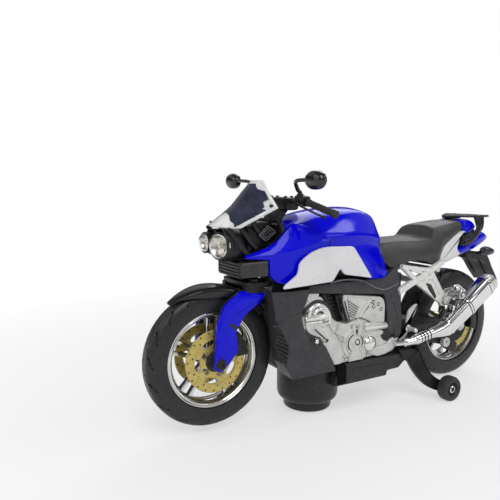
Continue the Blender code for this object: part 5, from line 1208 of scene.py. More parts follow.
piece("engine_stay", both([plate([(43.3, 52.3), (40.4, 50.9), (33.9, 47.9), (35.4, 45.4), (42.2, 48.8)],
                                 23.6, 25.7, 0.4, 0.6)]), recess_shade)
piece("engine_stay_nut", both([pot((38.4, 0, 48.6), 25, 26.2, 1.2)]), engine_bright)
# Near-black strips, caps and rings laid in the castings' recesses and round the bolts: painted shade.
recesses = [
    bead([(39.6, 56), (31, 48.4)], 1, 24.5, 0.16), pot((30.4, 0, 48), 23.9, 24.85, 1.2),
    bead([(22.2, 57), (24.2, 50.6)], 0.45, 23.7, 0.16),
    bead([(20.9, 56.6), (22.9, 50.2)], 0.3, 23.7, 0.14),
    bead([(35.2, 57.6), (33.2, 56.2), (31.4, 57.2)], 0.9, 23.9, 0.12),
    bead([(-2.5, 64.3), (1.8, 60.7)], 0.8, 22.7, 0.16),
    bead([(17.9, 72), (18.4, 69), (13.4, 55.4)], 1, 21.4, 1.5),
    bead([(16.6, 69.4), (12.2, 56.6)], 0.5, 22.5, 0.5),
    plate([(9, 48.9), (7.8, 47.4), (6.4, 48.9), (7.6, 53.4)], 23.2, 23.9, 0.2, 0.5),
    bead([(12.9, 39.6), (13.9, 43.4), (12.6, 46.4), (10.4, 48.2)], 1.3, 23.3, 0.5),
    bead([(3.4, 46.2), (2.4, 43.6), (3.2, 41)], 0.7, 23.6, 0.35),
    washer(1.35, 1.9, 24.6, 25, (7.7, 0, 43.7), 36),
    washer(4.55, 4.75, 23.6, 24.25, (-2.9, 0, 40.8), 64),
    tube([(46.2, 22.8, 64.4), (43.9, 22.8, 68.6), (38, 22.8, 71.4), (32.2, 22.8, 70.2),
          (27.6, 22.8, 66)], [1] * 5, 12, 36),
    tube([(36.6, 22.6, 64.2), (34.6, 22.9, 65.2), (32.9, 22.9, 64.2)], [0.6] * 3, 10, 16),
    turned([(0, 20), (4.4, 20), (4.4, 22.2), (3.6, 22.8), (0, 22.8)], (-17.8, 0, 44.6), steps=40),
    plate([(44, 54.2), (42.8, 50.6), (36.1, 47.2), (34.6, 50)], 22.6, 24.2, 0.2, 0.5)]
castings.append(plate([(39.5, 50.9), (36, 49.6), (36.4, 47.4), (38.4, 47.2), (39.7, 48.2)], 23, 24.8,
                      0.3, 0.5))
recesses += [washer(0.95, 1.25, 22.5, 22.95, (x, 0, z), 20) for x, z in head_bolts[:4]]
stays = [tube([(31.4, 20.4, 74.6), (27.2, 20.4, 66.8), (22.6, 20.4, 58.8)], [1.5, 1.5, 1.4], 14, 12),
         tube([(20.8, 19.6, 73), (18.8, 19.6, 67), (17, 19.6, 61)], [1.2, 1.2, 1.1], 12, 12),
         plate([(29, 74), (21, 73.4), (18.6, 61), (23, 59.4)], 15, 18, 0.6, 1)]
for k in range(5):
    z = 72.0 - 2.4 * k, 71.2 - 2.4 * k
    stays.append(plate([(27 - k, z[0]), (20.2 - 0.3 * k, z[0]), (20 - 0.3 * k, z[1]), (26.7 - k, z[1])],
                       17.4, 18.8, 0.2, 0.2))
for word, side in SIDES:
    name = "engine_" + word
    piece(name + "_casting", sided(castings, side), engine_silver, name, 35)
    piece(name + "_polished", sided(polished, side), engine_bright, sharp=35)
    piece(name + "_recesses", sided(recesses, side), recess_shade, sharp=35)
    piece(name + "_stays", sided(stays, side), moulded_black, sharp=35)


# ---- radiator cowl ----
# One hollow dark grey moulding round the back of the front wheel: a smooth side panel, a stepped
# upper panel, and a scooped triangle near the front edge with slanting slats over a black sheet of
# painted shade in the gaps between them.

cowl_grey = finish("cowl_grey", (0.036, 0.036, 0.04), 0.42, tone=0.1, spots=90, grain=2400, depth=0.025,
                   uneven=0.22, dust=0.05)
vent_shade_black = finish("vent_shade_black", (0.004, 0.004, 0.005), 0.6, spots=300, grain=2600)
COWL = 25.0
SCOOP_MAX = 7.4
WHEEL_ROOM = 42.7
cowl_rear = np.array([(23.4, 28.8), (24.2, 31), (32.6, 45), (35.2, 48.2), (46.6, 55.4), (48.6, 63.4),
                      (46.2, 69.6), (43.4, 75.6), (42.8, 79)])
cowl_front = np.array([(54, 28.8), (56, 32), (59.2, 38), (61.4, 48), (63.4, 60), (66, 79)])
scoop_edge = np.array([(60, 28.8), (58.8, 37), (56.9, 48), (62.6, 58.6), (63.5, 60.2), (67, 61),
                       (67, 79)])


def scoop_depth(x, z):
    """How far the side falls away in front of the scoop's crease: 1.6 times the distance past it."""
    return 1.6 * np.clip(x - np.interp(z, scoop_edge[:, 1], scoop_edge[:, 0]), 0, 5)


def round_path(keys, reach, fill):
    """Corners of many like paths at once: each inner corner becomes a quadratic blend between points
    set back from it, with evenly spread points between the blends."""
    t = np.linspace(0, 1, 5)[:, None, None]
    line = [keys[:, :1].transpose(1, 0, 2)]
    last = keys[:, 0]
    for k in range(1, keys.shape[1]):
        here = keys[:, k]
        if k < keys.shape[1] - 1:
            after = keys[:, k + 1]
            ahead = after - here
            lengths = [np.maximum(np.linalg.norm(v, axis=1), 1e-6)[:, None]
                       for v in (keys[:, k - 1] - here, ahead)]
            cut = np.minimum(reach[k], 0.4 * np.minimum(*lengths))
            a, b = here + (keys[:, k - 1] - here) / lengths[0] * cut, here + ahead / lengths[1] * cut
        else:
            a = b = here
        spread = np.linspace(0, 1, fill[k - 1] + 2)[1:-1, None, None]
        line += [last * (1 - spread) + a * spread,
                 eased(a, here, b, t) if k < keys.shape[1] - 1 else here[None]]
        last = b
    return np.concatenate(line).transpose(1, 0, 2)


def cowl_sheet(inset):
    """Plan path at each height: rear edge, crease, front edge, in to the wheel slot, back along it and
    across; the upper panel stands a step lower than the side."""
    z = np.linspace(28.8, 79, 110)
    rear = np.interp(z, cowl_rear[:, 1], cowl_rear[:, 0])
    front = np.interp(z, cowl_front[:, 1], cowl_front[:, 0])
    crease = np.minimum(np.interp(z, scoop_edge[:, 1], scoop_edge[:, 0]), front - 0.8)
    y_front = COWL - np.minimum(scoop_depth(front, z), SCOOP_MAX) - 0.6
    back = FX - np.sqrt(WHEEL_ROOM ** 2 - np.minimum(np.abs(z - FZ), 34) ** 2)
    back = np.minimum(back, front - 2.4)
    flat = 0 * z
    keys = np.array([(rear, flat + COWL - 1.6), (rear + 0.1, flat + COWL), (crease, flat + COWL),
                     (front, y_front), (front - 0.6, flat + 13.0), (front - 1.4, flat + 9.7),
                     (back, flat + 9.6), (back, flat)]).transpose(2, 0, 1)
    path = round_path(keys, (0, 0.5, 0.9, 0.9, 1.5, 0.8, 0.8, 0), (1, 22, 10, 4, 2, 6, 6))
    path = np.concatenate([path, path[:, ::-1][:, 1:] * (1, -1)], 1)
    x, y = path[..., 0], path[..., 1]
    z = z[:, None]
    line = np.interp(x, (44, 47.9, 54, 61.8, 68.8), (66.3, 65.3, 63.4, 61.9, 62.2))
    side = smooth_step((np.abs(y) - 14.0) / 3.0)
    upper = smooth_step((z - line) / 0.9)
    step = upper * 0.85
    round_off = 0.022 * np.clip(x - 55.0, 0, 12) ** 2 * upper
    low = 0.5 * smooth_step((33.0 - z) / 0.8) * side
    y = y - np.sign(y) * ((step + round_off + low) * side + inset * (np.abs(y) > 0.5))
    x = x - inset * np.where(np.abs(y) < 23.6 - inset, 1, 0) * (x > 50)
    return grid(x, y, z)


piece("cowl_moulding", [slab(cowl_sheet(0), cowl_sheet(1.5))], cowl_grey, "radiator_cowl", 26)
slats = []
for k in range(8):
    z = 57.4 - 2.42 * k
    xf = np.interp(z, cowl_front[:, 1], cowl_front[:, 0])
    low = z - 2.3 * min(1, (60.0 - z) / 8.0)
    xr = np.interp(low, scoop_edge[:, 1], scoop_edge[:, 0])
    a = np.array((xf - 0.2, COWL - min(scoop_depth(xf, z), SCOOP_MAX) - 0.3, z))
    b = np.array((xr + 0.3, COWL + 0.1, low))
    slats.append(tube([a, (a + b) / 2 - (0, 0.2, 0), b], [0.6, 0.66, 0.5], 10, 10, 0.8))
slats.append(bead([(67.6, 61), (62, 61.4), (54, 63), (47.6, 65), (44.4, 66.2)], 0.9, COWL - 0.3, 0.5))
piece("cowl_slats", both(slats), cowl_grey)
# A black sheet just over the scoop's floor, seen between the slats: painted shade in the gaps.
z = np.linspace(37.4, 58.6, 24)[:, None]
share = np.linspace(0.08, 0.95, 8)[None]
xr, xf = (np.interp(z, line[:, 1], line[:, 0]) for line in (scoop_edge, cowl_front))
x = xr + np.maximum(xf - xr, 0.1) * share
y = COWL - np.minimum(scoop_depth(x, z), SCOOP_MAX)
patch = [grid(x, y + off, z) for off in (0.18, 0.02)]
piece("cowl_vent_shade", both([slab(*patch)]), vent_shade_black)


# ---- belly pan, battery door, cells and switch ----
# The black battery box screwed up under the engine, with a thicker lower band and, ahead of it on each
# side, a near-black plate of painted shade where a recess lies, its door, two small cells and the
# slide switch by its tail.

belly_black = finish("belly_black", (0.021, 0.021, 0.023), 0.4, spots=140, grain=2300, depth=0.025,
                     uneven=0.2, dust=0.05)
cell_wrap = finish("cell_wrap", (0.3, 0.16, 0.02), 0.28, 0.35, tone=0.18, spots=160, grain=900,
                   depth=0.01, uneven=0.3)
knob_grey = finish("knob_grey", (0.32, 0.32, 0.32), 0.5, tone=0.08, spots=700, grain=3000, depth=0.03)
for node, material in (("belly_pan", belly_black), ("battery_door", belly_black),
                       ("battery_cell_1", cell_wrap), ("battery_cell_2", cell_wrap),
                       ("power_switch", knob_grey)):
    keep_solid(node, material)
band = [(15.6, 18.9), (-16.4, 18.9), (-16.2, 27), (15.6, 28)]
upper = [(15.6, 28.5), (-16.6, 27.5), (-28, 23.2), (-33.2, 27), (-35.4, 31), (15.6, 31)]
piece("belly_sides", both([plate(band, 23.4, 24.75, 0.4, 0.8), plate(upper, 23.4, 24.5, 0.3, 1),
                           pot((-30, 0, 27.6), 24, 24.9, 1.3)]), belly_black)
# Near black for the recess beside the housing: painted shade.
belly_shade_black = finish("belly_shade_black", (0.002, 0.002, 0.0025), 0.75, spots=300, grain=2300, shine=0.1)
piece("belly_gap_shade",
      both([plate([(22.4, 31.2), (15.9, 31.2), (15.9, 19.9), (22.4, 19.3)], 22.8, 24.7, 0.2, 0.4)]),
      belly_shade_black)


# ---- drive pod, its housing, wheels and motor ----
# A fixed round housing with a rolled lower edge, the pod that turns inside it on a pivot, a steel
# axle with its gear, two rubber drive wheels, and the small can motor above.

housing_black = finish("housing_black", (0.02, 0.02, 0.022), 0.36, tone=0.1, spots=110, grain=2400,
                       uneven=0.2, dust=0.04)
pod_black = finish("pod_black", (0.014, 0.014, 0.015), 0.3, spots=160, grain=2400, uneven=0.25,
                   dust=0.05)
drive_rubber = finish("drive_rubber", (0.02, 0.019, 0.019), 0.7, tone=0.25, spots=500, grain=2200,
                      depth=0.06, dust=0.15)
steel = finish("steel", (0.5, 0.5, 0.5), 0.26, 1, tone=0.06, spots=500, grain=3000, depth=0.008,
               uneven=0.3, stretch=(1, 0.1, 1))
pod_x, pod_y = place("pod_housing")[:2]
r = half_size("pod_housing")[0]
low, top = (place("pod_housing")[2] + way * half_size("pod_housing")[2] for way in (-1, 1))
roll = np.linspace(0, np.pi / 2, 9)
profile = [(15.3, low + 10.5), (15.3, low + 0.2), (15.6, low)]
profile += [(r - 3.2 + 3.2 * math.sin(q), low + 4.6 - 4.6 * math.cos(q)) for q in roll]
profile += [(r, low + 8), (r, top), (r - 2.2, top), (r - 2.2, low + 13.0), (4.4, low + 13.0),
            (4.4, low + 10.5)]
piece("pod_housing_turned", [turned(profile, (pod_x, pod_y, 0), "Z", 144, closed=True)], housing_black,
      "pod_housing", 35)
for node, material in (("drive_pod", pod_black), ("drive_wheel_left", drive_rubber),
                       ("drive_wheel_right", drive_rubber), ("drive_axle", steel),
                       ("drive_motor", steel)):
    keep_solid(node, material)
pod_r = half_size("drive_pod")[0]
skirt = [(pod_r - 0.9, 1.05), (pod_r - 0.4, 1.15), (pod_r, 1.7), (pod_r + 0.12, 2.2), (pod_r + 0.12, 7),
         (pod_r - 0.3, 7), (pod_r - 0.5, 2.2)]
piece("pod_skirt", [turned(skirt, (pod_x, pod_y, 0), "Z", 144, closed=True)], pod_black, sharp=35,
      body="drive_pod")
for word, side in SIDES:
    name = "drive_wheel_" + word
    c, half = place(name), half_size(name)
    turn = circle(120)
    y = np.linspace(-0.86, 0.86, 9)[:, None] * half[1]
    ribs = half[0] + 0.04 - 0.22 * (np.sin(turn * 30) > 0.2) * (np.abs(y) < half[1] * 0.8)
    band = np.concatenate([on_axis(ribs, y, turn), on_axis(half[0] - 0.7, y[::-1], turn)]) + c
    piece(name + "_tread", [skin(band, ring=True)], drive_rubber, sharp=40, body="drive_axle")


# ---- seat ----
# One dark grey grained moulding: a dished rider's seat with a crisp edge line, a raised pad behind it
# with an arched front face, and skirts that drop to a point on each side.

seat_grey = finish("seat_grey", (0.036, 0.034, 0.033), 0.38, spots=150, grain=1500, depth=0.09,
                   uneven=0.15, cells=True, dust=0.02, sheen=0.04, shine=0.5)
seat_crown = np.array(
    [(-15.5, 101.5), (-23, 101.9), (-32, 101.8), (-46, 102), (-56, 102.6), (-60.2, 103.1),
     (-61.4, 104.2), (-63.6, 108.6), (-65, 110.2), (-67.5, 110.9), (-76, 111.7), (-88, 112.6),
     (-101.5, 112.9)])
seat_edge = np.array(
    [(-15.5, 100.8, 13.6), (-23, 101.3, 15), (-32, 101.5, 15.6), (-46, 101.2, 16.2), (-56, 101.3, 16.4),
     (-60.6, 101.8, 16.2), (-62, 103, 16), (-64.6, 106.6, 15), (-66.4, 107.8, 14.4), (-76, 109.6, 13.4),
     (-88, 111, 11.5), (-101.5, 111.7, 8.5)])
seat_low = np.array(
    [(-15.5, 90, 18.4), (-19, 88, 19.6), (-22, 85.6, 20.4), (-26, 84.3, 20.9), (-30, 84.6, 21),
     (-33, 86.8, 21), (-38, 88.8, 21), (-45, 89, 21), (-53, 87.4, 20.8), (-57.5, 85.4, 20.5),
     (-61.5, 84.6, 20.2), (-65.5, 85.6, 19.6), (-69, 91.5, 18.4), (-73, 98.2, 17.2), (-78.4, 99.9, 16.4),
     (-88, 103, 14), (-96.4, 106.3, 11.8), (-101.5, 108.4, 10.4)])


def seat_moulding():
    """Crown, edge and low line looked up at each station; between crown and edge the section is a
    shallow arch, below the edge it swells out and falls to the low line."""
    x = np.unique(np.concatenate([np.linspace(-101.5, -15.5, 90), np.linspace(-67, -60, 16)]))

    def line(table, k):
        fine = spline(table, 200)
        order = np.argsort(fine[:, 0])
        return np.interp(x, fine[order, 0], fine[order, k])[:, None]

    crown = line(seat_crown, 1)
    edge, edge_y, low, low_y = (line(table, k) for table in (seat_edge, seat_low) for k in (1, 2))
    s = np.linspace(0, 1, 12)[None]
    top_y = edge_y * s
    top_z = crown - (crown - edge) * s ** 2.6 - 0.35 * np.sin(s * np.pi) * (crown < 105)
    t = np.array([0.02, 0.07, 0.16, 0.28, 0.42, 0.58, 0.74, 0.88, 0.97, 1])[None]
    out_y = edge_y + (low_y - edge_y) * (1 - (1 - t) ** 2.2) + 0.5 * np.sin(t * np.pi) - 0.7 * (t > 0.99)
    out_z = edge + (low - edge) * t
    y, z = np.hstack([top_y, out_y]), np.hstack([top_z, out_z])
    y, z = np.hstack([-y[:, :0:-1], y]), np.hstack([z[:, :0:-1], z])
    points = grid(x[:, None], y, z)
    for row, pull in ((0, 0.9), (1, 0.975), (-1, 0.93), (-2, 0.985)):
        centre = points[row].mean(0)
        points[row, :, 1:] = centre[1:] + (points[row, :, 1:] - centre[1:]) * pull
    return skin(points)


piece("seat_moulding", [seat_moulding()], seat_grey, "seat", 38)


# ---- subframe ----
# Silver plastic trusses on each side, tied by two tubes: a long beam, a triangle above it, a tapering
# leg with a slot below it, drawn as a near-black plate of painted shade, and a plated peg with a
# knurled sleeve.

truss_silver = finish("truss_silver", (0.76, 0.76, 0.74), 0.3, 0.15, tone=0.05, spots=160, grain=2400,
                      depth=0.012, uneven=0.25)
knurled = finish("knurled", (0.5, 0.5, 0.49), 0.25, 0.9, tone=0.2, spots=900, grain=1500, depth=0.04,
                 cells=True)


def strut(a, b, wa, wb, low=21.3, high=24.2):
    """A truss member between two points of the side view, with square rounded edges."""
    return bar_between(a, b, (wa, wb), low, high, 0.28)


truss = [
    strut((-26.2, 70.6), (-65.2, 86.8), 4, 3.2, 21, 24.6), strut((-28.4, 86.4), (-52.8, 82.4), 2.6, 2.6),
    strut((-28.8, 86.6), (-42, 76), 2.8, 3), strut((-36.4, 83.6), (-48, 80.6), 1.4, 1.4),
    strut((-41.6, 76.4), (-69.6, 57.4), 4.2, 3.4), strut((-52.6, 83.2), (-68.8, 60.4), 3.8, 3.6),
    strut((-45.4, 77.4), (-54.6, 77.6), 3, 3), strut((-61.4, 62.4), (-66.8, 65), 2.6, 2.6),
    plate([(-65.8, 63.6), (-69.2, 62.6), (-71.6, 60.4), (-70.4, 55), (-66.8, 55.6), (-63.6, 58.4)], 21.2,
          24.4, 0.6, 1.2),
    plate([(-64.8, 61.6), (-67, 58.6), (-73, 65.4), (-73, 68), (-70, 68.6)], 21.3, 24.3, 0.5, 1),
    pot((-31.2, 0, 84.6), 23.6, 24.9, 1.1), pot((-51.4, 0, 81.6), 23.6, 24.9, 1),
    pot((-68.2, 0, 58.4), 23.8, 25, 1.2)]
ties = [rod(r, -22.6, 22.6, (x, 0, z), steps=28) for x, z, r in ((-43.6, 75.8, 2), (-62, 81.9, 1.6))]
truss.append(plate([(-43.4, 74.8), (-52.8, 80.8), (-66.4, 62.4), (-64.6, 59.8)], 21.6, 23.7, 0.4, 0.8))
piece("subframe_truss", both(truss) + ties, truss_silver, "subframe", 30)
# The slot is a near-black plate laid on the truss: painted shade.
piece("subframe_slot_shade", both([plate([(-49.6, 74.3), (-54, 73.2), (-59.6, 64.4), (-57.9, 63.2),
                                     (-51.6, 69.8)], 23, 24.32, 0.2, 1)]), recess_shade)
peg = [(0, 22.9), (2.3, 22.9), (2.3, 24.6), (1.5, 25), (1.5, 25.8), (2.5, 26.2)]
for k in range(8):
    peg += [(2.5, 26.3 + k), (2.5, 26.8 + k), (2.15, 26.9 + k), (2.15, 27.2 + k)]
peg += [(2.5, 34.4), (2.5, 34.9), (1.6, 35.2), (1.6, 36.4), (1.1, 36.9), (0, 36.9)]
block_line = [(-63.8, 60.2), (-67.6, 67.6), (-72.6, 70.2), (-75, 66.2), (-67.8, 57.6)]
piece("peg_knurled",
      both([turned(peg, (-70.6, 0, 66), steps=30), plate(block_line, 24, 26.4, 0.4, 0.8)]), knurled)
clamps = [turned([(0, 23), (1.7, 23), (1.7, 27), (1.2, 27.6), (0, 27.6)], (x, 0, z), steps=24)
          for x, z in ((-76.4, 68.6), (-73.6, 62.4), (-66.2, 57.2))]
clamps.append(tube([(-72.6, 26.2, 70.2), (-77.4, 26.4, 70.6), (-80.6, 26.8, 68.2), (-79, 27, 65)],
                   [0.9] * 4, 12, 24))
piece("peg_clamps", both(clamps), plated_rim)


# ---- tail shell and tail cowl ----
# Pale side shells that narrow into the rails, and the blue gloss tail moulded in two lobes round a
# black bracket, with a red lens let into its end.

shell_edge = [
    (-70.4, 84.4), (-72.6, 89.6), (-76.2, 95.6), (-79.8, 99.4), (-86.5, 102.6), (-96.6, 105.6),
    (-95.6, 103.4), (-91.6, 100.4), (-88.6, 93.4), (-92.8, 90.2), (-90, 87.8), (-80, 85), (-72, 83.4)]
piece("tail_shell_pearl", [plate(shell_edge, -15.6, 15.6, 1.6, 2)], pearl_white, "tail_shell", 30)


def lobe(stations):
    """Stations of x, top, low and half width splined along; each section is a soft box, a power curve
    of sine and cosine, and the ends are drawn in."""
    x, top, low, half = spline(stations, 40).T[..., None]
    t = circle(40)
    points = grid(x, half * soft(np.cos(t), 0.55),
                  (top + low) / 2 + (top - low) / 2 * soft(np.sin(t), 0.7))
    for row in (0, -1):
        centre = points[row].mean(0)
        points[row] = centre + (points[row] - centre) * 0.8
    return skin(points)


lobes = [
    lobe([(-96.6, 111.6, 105.4, 12.2), (-98.4, 113, 102, 13), (-102, 113.1, 101.2, 13.2),
          (-107.2, 112.7, 103.2, 12.8), (-110.4, 109.4, 105.8, 11.8), (-111.2, 108.2, 106.8, 11)]),
    lobe([(-88.6, 92.4, 90, 14.6), (-91, 95, 88.4, 15.2), (-97, 98.2, 87.9, 15), (-104, 101, 88.9, 14.2),
          (-112, 103.6, 90.6, 13), (-119, 104.5, 92.8, 11.6), (-125, 103.2, 95, 9.8),
          (-129.6, 100.6, 97, 7.6), (-130.6, 99.2, 98, 6.4)])]
piece("tail_cowl_gloss", lobes, gloss_blue, "tail_cowl", 35)
core = [plate([(-90.6, 93), (-96, 103.8), (-98, 110), (-109.6, 108), (-112, 102.4), (-100, 94)], -11.4,
              11.4, 0.8, 1.6)]
core += both([plate([(-90.4, 95.4), (-92.4, 102.6), (-96.8, 101.2), (-100.4, 98.4), (-96, 95.6)], 12,
                    17.4, 0.8, 1.2)])
piece("tail_bracket", core, moulded_black)
red_lens = finish("red_lens", (0.3, 0.006, 0.005), 0.12, tone=0.15, spots=700, grain=1800, shine=0.6)
lens_y, lens_z = np.meshgrid(np.linspace(-5.4, 5.4, 25), np.linspace(-1.5, 1.5, 9), indexing="ij")
bulge = np.sqrt(np.clip(1 - (lens_y / 5.8) ** 2, 0, 1)) * np.sqrt(np.clip(1 - (lens_z / 1.9) ** 2, 0, 1))
lens = [grid(-129.6 - k * bulge - 0.2, lens_y, 98.6 + lens_z) for k in (1.2, 0.2)]
piece("tail_lens", [slab(*lens)], red_lens)


# ---- rack ----
# A black moulded rack screwed on behind the pad: a flat loop of two rails and two cross bars, with
# a tongue over the seat, on two broad legs and two thin stays.

rails = [
    tube([(-94.6, 2.2, 115), (-99.5, 5.4, 115.1), (-104.5, 10, 115.1), (-109, 13.2, 115.1),
          (-114, 13.9, 115.1), (-120.4, 13.9, 115.1)], [1.6, 1.6, 1.6, 1.7, 1.7, 1.5], 16, 50, 0.55),
    tube([(-109.4, 14, 115.4), (-110.4, 14.3, 111.4), (-109.9, 15.2, 106.8), (-105.4, 16.4, 102),
          (-99.6, 17.2, 98.8), (-92.8, 17.2, 97.4)], [3.6, 3.2, 2.8, 2.4, 2.2, 1.7], 16, 50, 0.4,
         (0, 1, 0)),
    tube([(-115.2, 13.8, 115), (-115.6, 13.9, 110.6), (-115.4, 13.4, 106.4), (-112, 13, 102.8)],
         [1.1, 1.1, 1.1, 1], 12, 30, 0.9, (0, 1, 0))]
cross = [tube([(x, -13.9, 115), (x, -5, 115.2), (x, 5, 115.2), (x, 13.9, 115)], [1.5] * 4, 16, 30, 0.5)
         for x in (-119.8, -109.6)]
cross.append(plate([(-93.4, -2.8), (-98.4, -5.4), (-103.8, -5.4), (-103.8, 5.4), (-98.4, 5.4),
                    (-93.4, 2.8)], 113.5, 115.6, 0.6, 1.4, "Z"))
cross += [plate(rect(-104.2, -120, y - 0.9, y + 0.9), 114.5, 115.5, 0.3, 0.3, "Z") for y in (-4.4, 4.4)]
piece("rack_moulded", both(rails) + cross, moulded_black, "grab_rail", 35)


# ---- rear mudguard ----
# A thin black moulded plate sloping out under the tail, with two sunk slots and a leaf-shaped turn
# lamp on a short stalk at each side.

over = spline([(-104.4, 88.9), (-112, 89.7), (-126.4, 86.9), (-134.4, 76.6), (-141.6, 66.8)], 48)
under = spline([(-105.4, 85.4), (-112, 84.4), (-124.2, 82.3), (-132.2, 73.4), (-139.8, 65.4)], 48)
y = np.linspace(-10, 10, 33)[None]
s = np.linspace(0, 1, 48)[:, None]
wide = 1 - 0.06 * smooth_step((s - 0.3) / 0.7)
sink = smooth_step((1.3 - np.abs(np.abs(y) - 5.2)) / 0.7)
sink = sink * smooth_step((s - 0.44) / 0.03) * smooth_step((0.83 - s) / 0.03)
rim_up = 0.25 * smooth_step((np.abs(y) - 8.9) / 0.5)
sheets = []
for line, way, amount in ((over, 1, 0.6 * rim_up), (under, -1, rim_up - 0.7 * sink)):
    sheets.append(grid(line[:, :1] + way * amount * -0.55, y * wide, line[:, 1:] + way * amount * 0.83))
LAMP_AT = (-118.9, 16.2, 90.2)


def turn_lamp(profile):
    """A leaf-shaped lamp turned about its long axis and tilted a little, on both sides."""
    points, faces = turned(profile, LAMP_AT, "X", 40)
    points[:, 2] += (points[:, 0] - LAMP_AT[0]) * 0.12
    return both([(points, faces)])


lamp_body = [(0, -8.4), (1.3, -7), (2.4, -4.4), (3.1, -1.2), (3.2, 1.6), (2.5, 4.4), (1.2, 6.6),
             (0, 7.4)]
arms = [tube([(-116, 7, 87.6), (-117.6, 11, 88.4), (-118.6, 15, 89.6)], [1.5, 1.3, 1.3], 14, 20)]
piece("rear_mudguard_plate", [slab(*sheets)] + both(arms), moulded_black, "rear_mudguard", 35)
piece("turn_lamps", turn_lamp(spline(lamp_body, 26)), mirror_black)
lens_body = [(0, 7.55), (1.3, 6.5), (2.6, 4.3), (3.3, 1.9), (3.32, 1.5), (2.9, 1.5), (0, 6.9)]
piece("turn_lamp_lenses", turn_lamp(lens_body), screen_smoke)


# ---- swinging arm, rear axle and caliper ----
# A black moulded arm each side of the tyre joined by a thick bridge at the pivot, bright axle nuts,
# and the rear caliper with its tie bar under the left arm.

inner = half_size("rear_tyre")[1] + 1.6
front = RX + half_size("rear_tyre")[0] + 3.0
pivot = place("swingarm")[0] + half_size("swingarm")[0]
arm = [(RX - 4.5, RZ - 3.4), (RX + 1, RZ - 4.6), (front - 4, RZ + 2.0), (pivot - 0.2, RZ + 1.0),
       (pivot - 0.2, RZ + 11.0), (front - 4, RZ + 10.6), (RX, RZ + 4.6), (RX - 4.5, RZ + 3.0)]
skins = both(
    [plate(arm, inner, inner + 3.6, 1, 2.4),
     bead([(RX + 7, RZ + 1.6), (RX + 24, RZ + 4.0), (front - 4, RZ + 6.2)], 3.2, inner + 3.4, 0.5),
     turned([(0, inner), (5.2, inner), (5.2, inner + 3.4), (4.4, inner + 3.9), (0, inner + 3.9)],
            (RX, 0, RZ), steps=48)])
skins += [plate(rect(front, pivot, RZ + 1.2, RZ + 10.8), -inner - 1.8, inner + 1.8, 1.2, 2.4),
          rod(5.4, -inner - 2, inner + 2, (pivot - 6.4, 0, RZ + 6.0), steps=40)]
piece("swingarm_moulded", skins, moulded_black, "swingarm", 35)
end = half_size("rear_axle")[1]
nut = [(0, end - 2.6), (3.4, end - 2.6), (3.4, end - 1.0), (2.9, end - 0.5), (2.3, end - 0.5),
       (2.2, end - 0.9), (1.8, end - 0.9), (1.7, end), (0, end)]
piece("rear_axle_turned",
      both([turned(nut, (RX, 0, RZ), steps=40)]) + [rod(1.6, -end + 1, end - 1, (RX, 0, RZ))],
      truss_silver, "rear_axle", 30)
face = half_size("rear_tyre")[1] + 0.9
c = np.array((RX, 0, RZ))
skins = [
    ring_part(c, 12.2, 19.4, -82, -14, face + 0.3, face + 5.0, 0.7),
    ring_part(c, 11.8, 18.6, 146, 196, face + 0.6, face + 4.4, 0.7),
    ring_part(c, 12.4, 18.8, 6, 148, face + 0.4, face + 1.8, 0.5),
    plate([(RX + 15.6, RZ - 12), (RX + 17, RZ - 7.0), (RX + 36, RZ - 2.6), (RX + 37, RZ - 6.0)],
          face + 1.2, face + 4.4, 0.6, 1)]
skins += [pot(c + spoke(16.2, a), face + 5.0, face + 6.8, 2.9) for a in (-46, -25)]
piece("rear_caliper_moulded", skins, moulded_black, "rear_caliper", 30)
stop = (RX + 15.5, 0, RZ - 9.5)
piece("caliper_stop", [turned([(0, face + 4.6), (3.5, face + 4.6), (3.5, face + 7.0), (3.1, face + 7.4),
                               (2, face + 7.4), (1.8, face + 7.0), (1, face + 7.0), (0.9, face + 6.4),
                               (0, face + 6.4)], stop, steps=36)], truss_silver)
side = place("rear_disc")[1] + half_size("rear_disc")[1]
cover = [turned([(4.4, side - 0.6), (13.4, side - 0.6), (13.4, side - 0.1), (12.9, side + 0.2),
                 (11.6, side + 0.2), (11.2, side - 0.1), (7.4, side - 0.1), (7, side + 0.2),
                 (4.4, side + 0.2)], (RX, 0, RZ), closed=True)]
cover += [washer(1, 1.7, side - 0.3, side + 0.25, c + spoke(9.3, 72 * k + 14.4), 24) for k in range(5)]
piece("rear_disc_cover", cover, boss_black, sharp=30, body="rear_wheel")


# ---- exhaust ----
# A plated link pipe with a ribbed sleeve opens into a soft-edged can with a double band round its
# middle, a slanted satin end cap and an oval outlet. Near-black rings in the grooves of the sleeve and
# the band, and the near-black inside of the outlet, are painted shade.

chrome = finish("chrome", (0.7, 0.7, 0.7), 0.07, 1, tone=0.04, spots=60, grain=600, depth=0.003,
                uneven=0.4)
cap_satin = finish("cap_satin", (0.62, 0.62, 0.6), 0.24, 0.7, tone=0.05, spots=200, grain=2200,
                   depth=0.01, uneven=0.3)


def soft_ring(centre, way, tall, wide, power=0.6):
    """A section square to a direction in the side plane: a power curve of sine and cosine."""
    up = np.cross(unit(np.array(way, float)), (0, 1, 0))
    up *= np.sign(up[2])
    t = circle(48)[:, None]
    u, v = soft(np.cos(t), power) * wide / 2, soft(np.sin(t), power) * tall / 2
    return np.array(centre) + u * (0, 1, 0) + v * up


